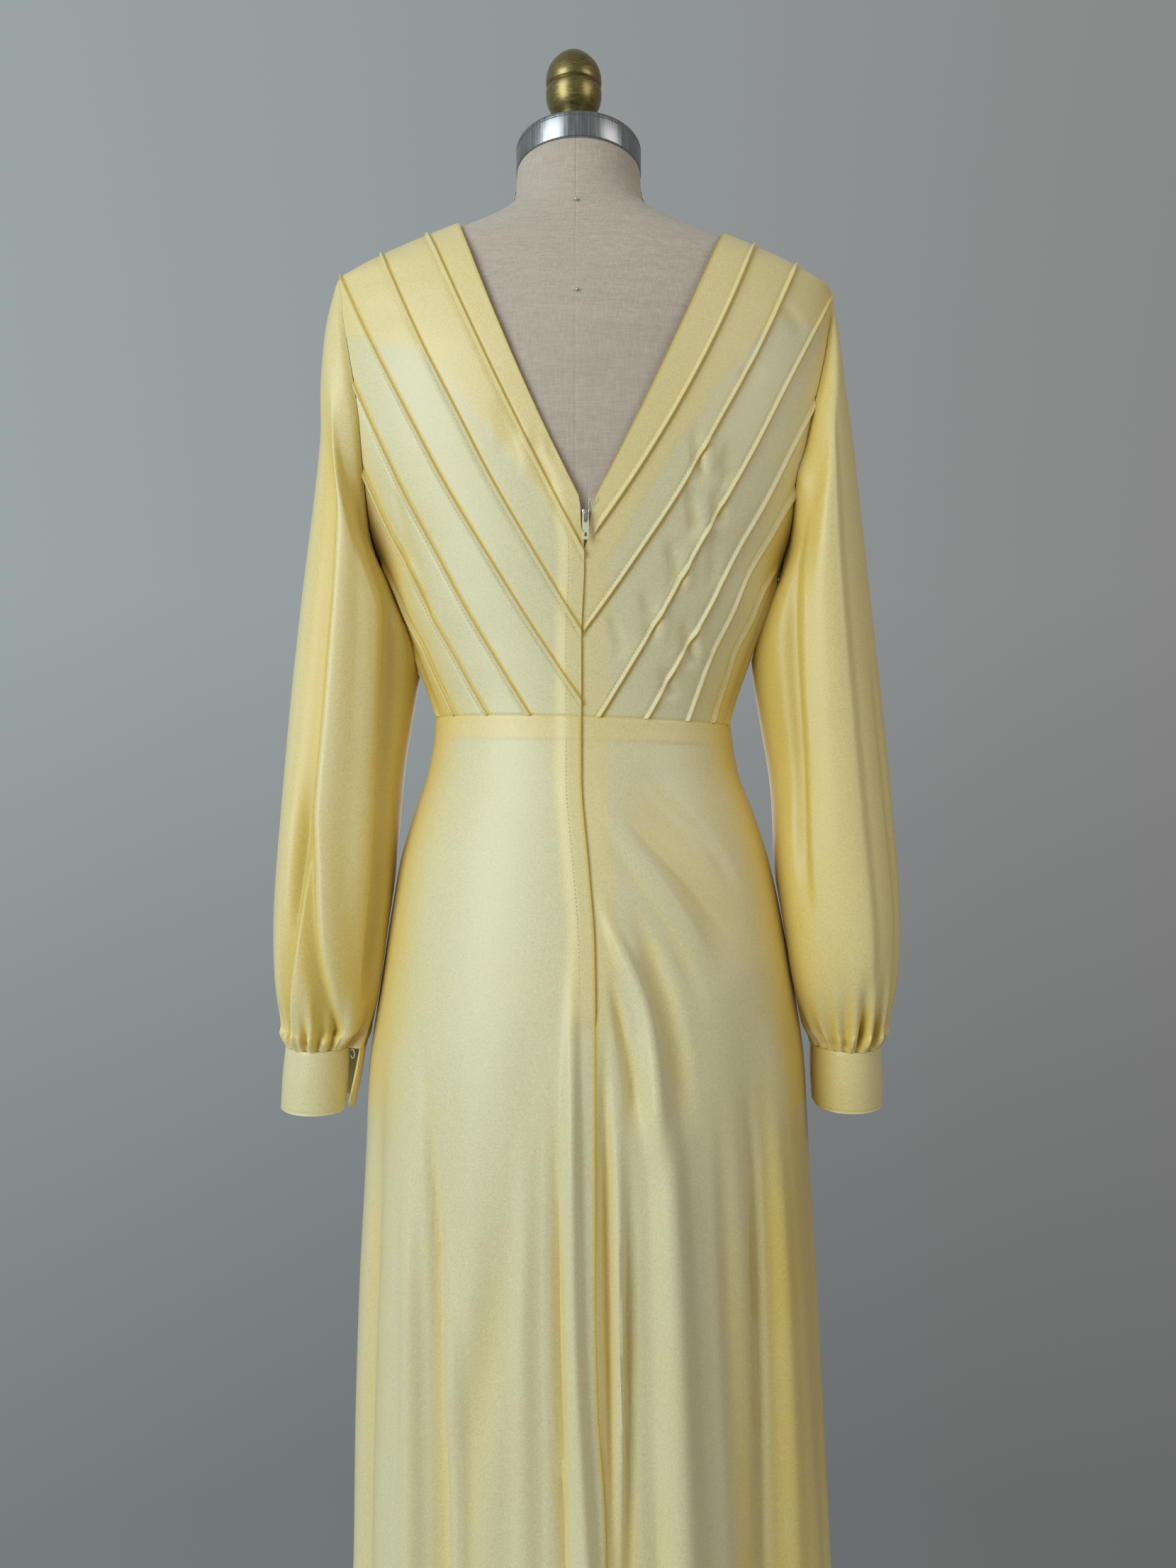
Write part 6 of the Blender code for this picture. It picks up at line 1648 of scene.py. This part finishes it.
LAP_Z = np.linspace(1.195, 0.848, 240)
LAP_X = left_edge(LAP_Z) + 0.0114
LAP_STITCHES = lap_row("lap_stitches", LAP_Z > 1.053, 0.0002)
SKIRT_LAP_STITCHES = lap_row("lap_stitches_skirt", LAP_Z < 1.048, 0.0003)
WAIST_X = {"left": np.linspace(0.014, 0.116, 60), "right": np.linspace(-0.005, -0.121, 60)}
WAIST_STITCHES = {
    side: join_rows("waist_stitches_" + side, [surface_stitches(x, waist_height(x) + 0.0016, -0.0001)],
                    THREAD, 0.0016, 0.0004)
    for side, x in WAIST_X.items()
}

# %% [markdown]
# ## Pins, gap shadows and loose threads
#
# Small things tell that the form is used: two pins with round heads in the centre seam, black
# strips of painted shadow for the narrow gaps at the sides of the neck under the band, and loose ends
# of thread at the top of the zip and at the left cuff. A thread is a thin tube along a smooth path.

# %% Small things
# Pin: how far out, and its radius there
PIN_ROWS = (
    (-0.0010, 0.0003), (0.0004, 0.0003), (0.0007, 0.0007), (0.0011, 0.0011), (0.0018, 0.00135),
    (0.0026, 0.0011), (0.0030, 0.0006), (0.0031, 0.0002),
)


def on_torso(x, z):
    """Point and outward direction on the back of the torso at a sideways place and height."""
    rows = [np.interp(z, FORM_ROWS[:, 0], FORM_ROWS[:, k]) for k in range(5)]
    y = rows[2] * math.sqrt(max(1.0 - (x / rows[1]) ** 2, 0.0))
    out = unit(np.array((x / rows[1] ** 2, y / rows[2] ** 2, 0.0)))
    return np.array((x, y, z)), out


def pin(name, x, z):
    """Pin: a steel ball head with a neck and a short length of shaft, turned about the outward direction."""
    foot, out = on_torso(x, z)
    fine = through(np.linspace(0, len(PIN_ROWS) - 1, 22), PIN_ROWS)
    side = unit(np.cross(out, (0.0, 0.0, 1.0)))
    up = np.cross(side, out)
    turn = full_turn(18)[None, :, None]
    rings = foot + out * fine[:, 0][:, None, None] + fine[:, 1][:, None, None] * (
        side * np.cos(turn) + up * np.sin(turn))
    return loft(name, rings, NICKEL)


SMALL = [pin("pin_upper", 0.0013, 1.4525), pin("pin_lower", 0.0005, 1.3700)]


def gap_shadow_strip(name, sign):
    """Painted shadow of a gap at the side of the neck: a short thin black strip on the torso's surface."""
    z = np.linspace(1.468, 1.4835, 12)[:, None]
    y = np.linspace(-0.0012, 0.0012, 5)[None] + 0.006
    width = np.interp(z, FORM_ROWS[:, 0], FORM_ROWS[:, 1])
    bulge = 0.0004 * bump((y - 0.006) / 0.0014) * bump((z - 1.4757) / 0.009)
    x = sign * (width * np.sqrt(1.0 - (y / 0.049) ** 2) + bulge + 0.0001)
    grid = np.stack((x + 0.0 * y, y + 0.0 * z, z + 0.0 * y), axis=-1)
    return cloth_wall(name, grid, grid - np.array((sign * 0.0008, 0.0, 0.0)), IRON)


SMALL += [gap_shadow_strip("neck_gap_shadow_left", 1.0), gap_shadow_strip("neck_gap_shadow_right", -1.0)]


def thread(name, points, radius, material, steps=40):
    """Loose thread: a tube along a smooth curve through a few points, thinner at the ends."""
    path = through(np.linspace(0.0, len(points) - 1.0, steps), np.array(points))
    taper = radius * (0.35 + 0.65 * np.sin(np.linspace(0.0, math.pi, steps)) ** 0.5)
    return loft(name, tube_rings(path, taper), material)


def back_point(x, z, lift):
    """Point on the back of the dress, lifted off it."""
    face, normal = on_body("back", np.array(x), np.array(z))
    return (face + lift * normal).reshape(3)


# Loose ends on the back: radius, then x, height and how far each point stands off
LOOSE_ENDS = {
    "thread_loop": (0.00028, (-0.0105, 1.2035, 0.0012), (-0.0100, 1.2080, 0.0022), (-0.0092, 1.2112, 0.0020),
                    (-0.0082, 1.2082, 0.0018), (-0.0086, 1.2030, 0.0010)),
    "frayed_thread_a": (0.0002, (-0.0130, 1.2070, 0.0006), (-0.0142, 1.2105, 0.0016),
                        (-0.0128, 1.2132, 0.0018)),
    "frayed_thread_b": (0.0002, (-0.0118, 1.2050, 0.0006), (-0.0112, 1.2098, 0.0020),
                        (-0.0122, 1.2140, 0.0022)),
}
CUFF_THREAD = (
    (0.1790, 0.0420, 0.7905), (0.1765, 0.0445, 0.7915), (0.1752, 0.0455, 0.7880), (0.1768, 0.0450, 0.7850),
    (0.1790, 0.0430, 0.7868),
)
for name, (radius, *points) in LOOSE_ENDS.items():
    SMALL.append(thread(name, [back_point(*point) for point in points], radius, PALE_THREAD))
SMALL.append(thread("cuff_thread", CUFF_THREAD, 0.00028, PALE_THREAD))

# %% [markdown]
# ## Riding and replacing
#
# Every new piece rides on one body, and each node of the model that a piece stands for is hidden.

# %% Put the pieces on the frame
DRESS = "dress_on_form"
for node_name, piece in PIECES.items():
    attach(piece, DRESS)
    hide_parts(node_name)
for side in SIGN:
    for piece in (TUCK_STITCHES[side], WAIST_STITCHES[side]):
        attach(piece, DRESS)
for piece, slot_name in ((LAP_STITCHES, "bodice_back_left"), (SKIRT_LAP_STITCHES, "skirt_back_left"),
                         (TEETH_PIECE, "zip_chain")):
    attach(piece, DRESS)
for piece in SMALL:
    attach(piece, DRESS)

# %% [markdown]
# ## Kept nodes
#
# The slider is bright nickel and the pull tab is cream enamel over metal, with a little grey wear.

# %% Finish of the slider and the pull


def cream_enamel():
    """Cream paint on metal, with grey wear where the noise is high."""
    material, tree, shader, place = new_tree(
        "cream_pull", Roughness=0.34, Coat_Weight=0.25, Coat_Roughness=0.2)
    wear = noise(tree, place, 380.0, 3.0)
    colour = blend_colour(tree, span(tree, wear, 0.56, 0.70), (0.80, 0.74, 0.50), (0.46, 0.43, 0.36))
    connect(tree, shader, colour, wear, 0.12, 0.0001)
    return material


PULL = cream_enamel()
for name, finish in (("zip_slider", NICKEL), ("zip_pull", PULL)):
    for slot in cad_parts[name].material_slots:
        slot.material = finish
print("kept nodes finished")

# %% [markdown]
# ## Studio
#
# A plain pale floor, a plain grey surround and soft light: one large key from the side of the
# sleeve that is bright, a weaker fill, and a soft light for the hidden front, so that every side of
# the dress can be judged. The camera stands behind the dress at the height of the waist.

# %% Floor, light and camera


def floor_finish():
    """Pale matt floor with faint cloudy tone."""
    material, tree, shader, place = new_tree("pale_floor", Roughness=0.8)
    colour = blend_colour(tree, noise(tree, place, 2.0, 3.0), (0.52, 0.53, 0.53), (0.58, 0.58, 0.57))
    connect(tree, shader, colour)
    return material


FLOOR_X, FLOOR_Y = np.meshgrid(np.linspace(-0.85, 0.85, 7), np.linspace(-0.51, 0.86, 7), indexing="ij")
FLOOR_TOP = np.stack((FLOOR_X, FLOOR_Y, 0.0 * FLOOR_X - 0.0005), axis=-1)
floor = cloth_wall("floor", FLOOR_TOP, FLOOR_TOP - np.array((0.0, 0.0, 0.02)), floor_finish())


def soft_light(name, place, target, size, power, colour):
    """Square area light at a place, facing a target."""
    light = bpy.data.lights.new(name, "AREA")
    light.shape = "RECTANGLE"
    light.size, light.size_y = size
    light.energy = power
    light.color = colour
    item = bpy.data.objects.new(name, light)
    bpy.context.scene.collection.objects.link(item)
    direction = unit(np.array(place) - np.array(target))
    side = unit(np.cross((0.0, 0.0, 1.0), direction))
    up = np.cross(direction, side)
    rows = [[side[i], up[i], direction[i], place[i]] for i in range(3)] + [[0.0, 0.0, 0.0, 1.0]]
    item.matrix_world = Matrix(rows)


soft_light("key", (1.45, 1.50, 1.60), (0.0, 0.0, 1.05), (1.1, 1.9), 27.0, (0.92, 1.01, 1.04))
soft_light("fill", (-1.5, 1.1, 1.85), (0.0, 0.0, 1.25), (0.9, 1.0), 6.0, (1.0, 0.98, 0.94))
soft_light("front", (0.0, -2.6, 1.6), (0.0, 0.0, 0.9), (1.6, 2.0), 13.0, (1.0, 0.96, 0.88))


def surround():
    """Grey surround: bluish and lighter towards the key light, darker on the other side and lower down."""
    world = bpy.data.worlds.new("grey_surround")
    bpy.context.scene.world = world
    world.use_nodes = True
    tree = world.node_tree
    direction = add(tree, "TexCoord").outputs["Generated"]
    sideways = add(tree, "SeparateXYZ", {"Vector": direction}).outputs["X"]
    colour = blend_colour(tree, span(tree, sideways, -0.5, 0.5), (0.235, 0.235, 0.232), (0.335, 0.385, 0.395))
    upward = add(tree, "SeparateXYZ", {"Vector": direction}).outputs["Z"]
    colour = blend_colour(tree, span(tree, upward, -0.5, 0.15, 0.55, 1.0), (0.0, 0.0, 0.0), colour)
    tree.links.new(colour, tree.nodes["Background"].inputs["Color"])


surround()
camera_data = bpy.data.cameras.new("camera")
camera = bpy.data.objects.new("camera", camera_data)
bpy.context.scene.collection.objects.link(camera)
camera.location = (-0.0077, 0.97, 1.00)
camera.rotation_euler = (math.radians(90.0), 0.0, math.radians(180.0))
camera_data.lens = 27.08
camera_data.sensor_fit = "VERTICAL"
camera_data.sensor_height = 36.0
camera_data.clip_start = 0.02
bpy.context.scene.camera = camera
bpy.context.scene.view_settings.view_transform = "Standard"
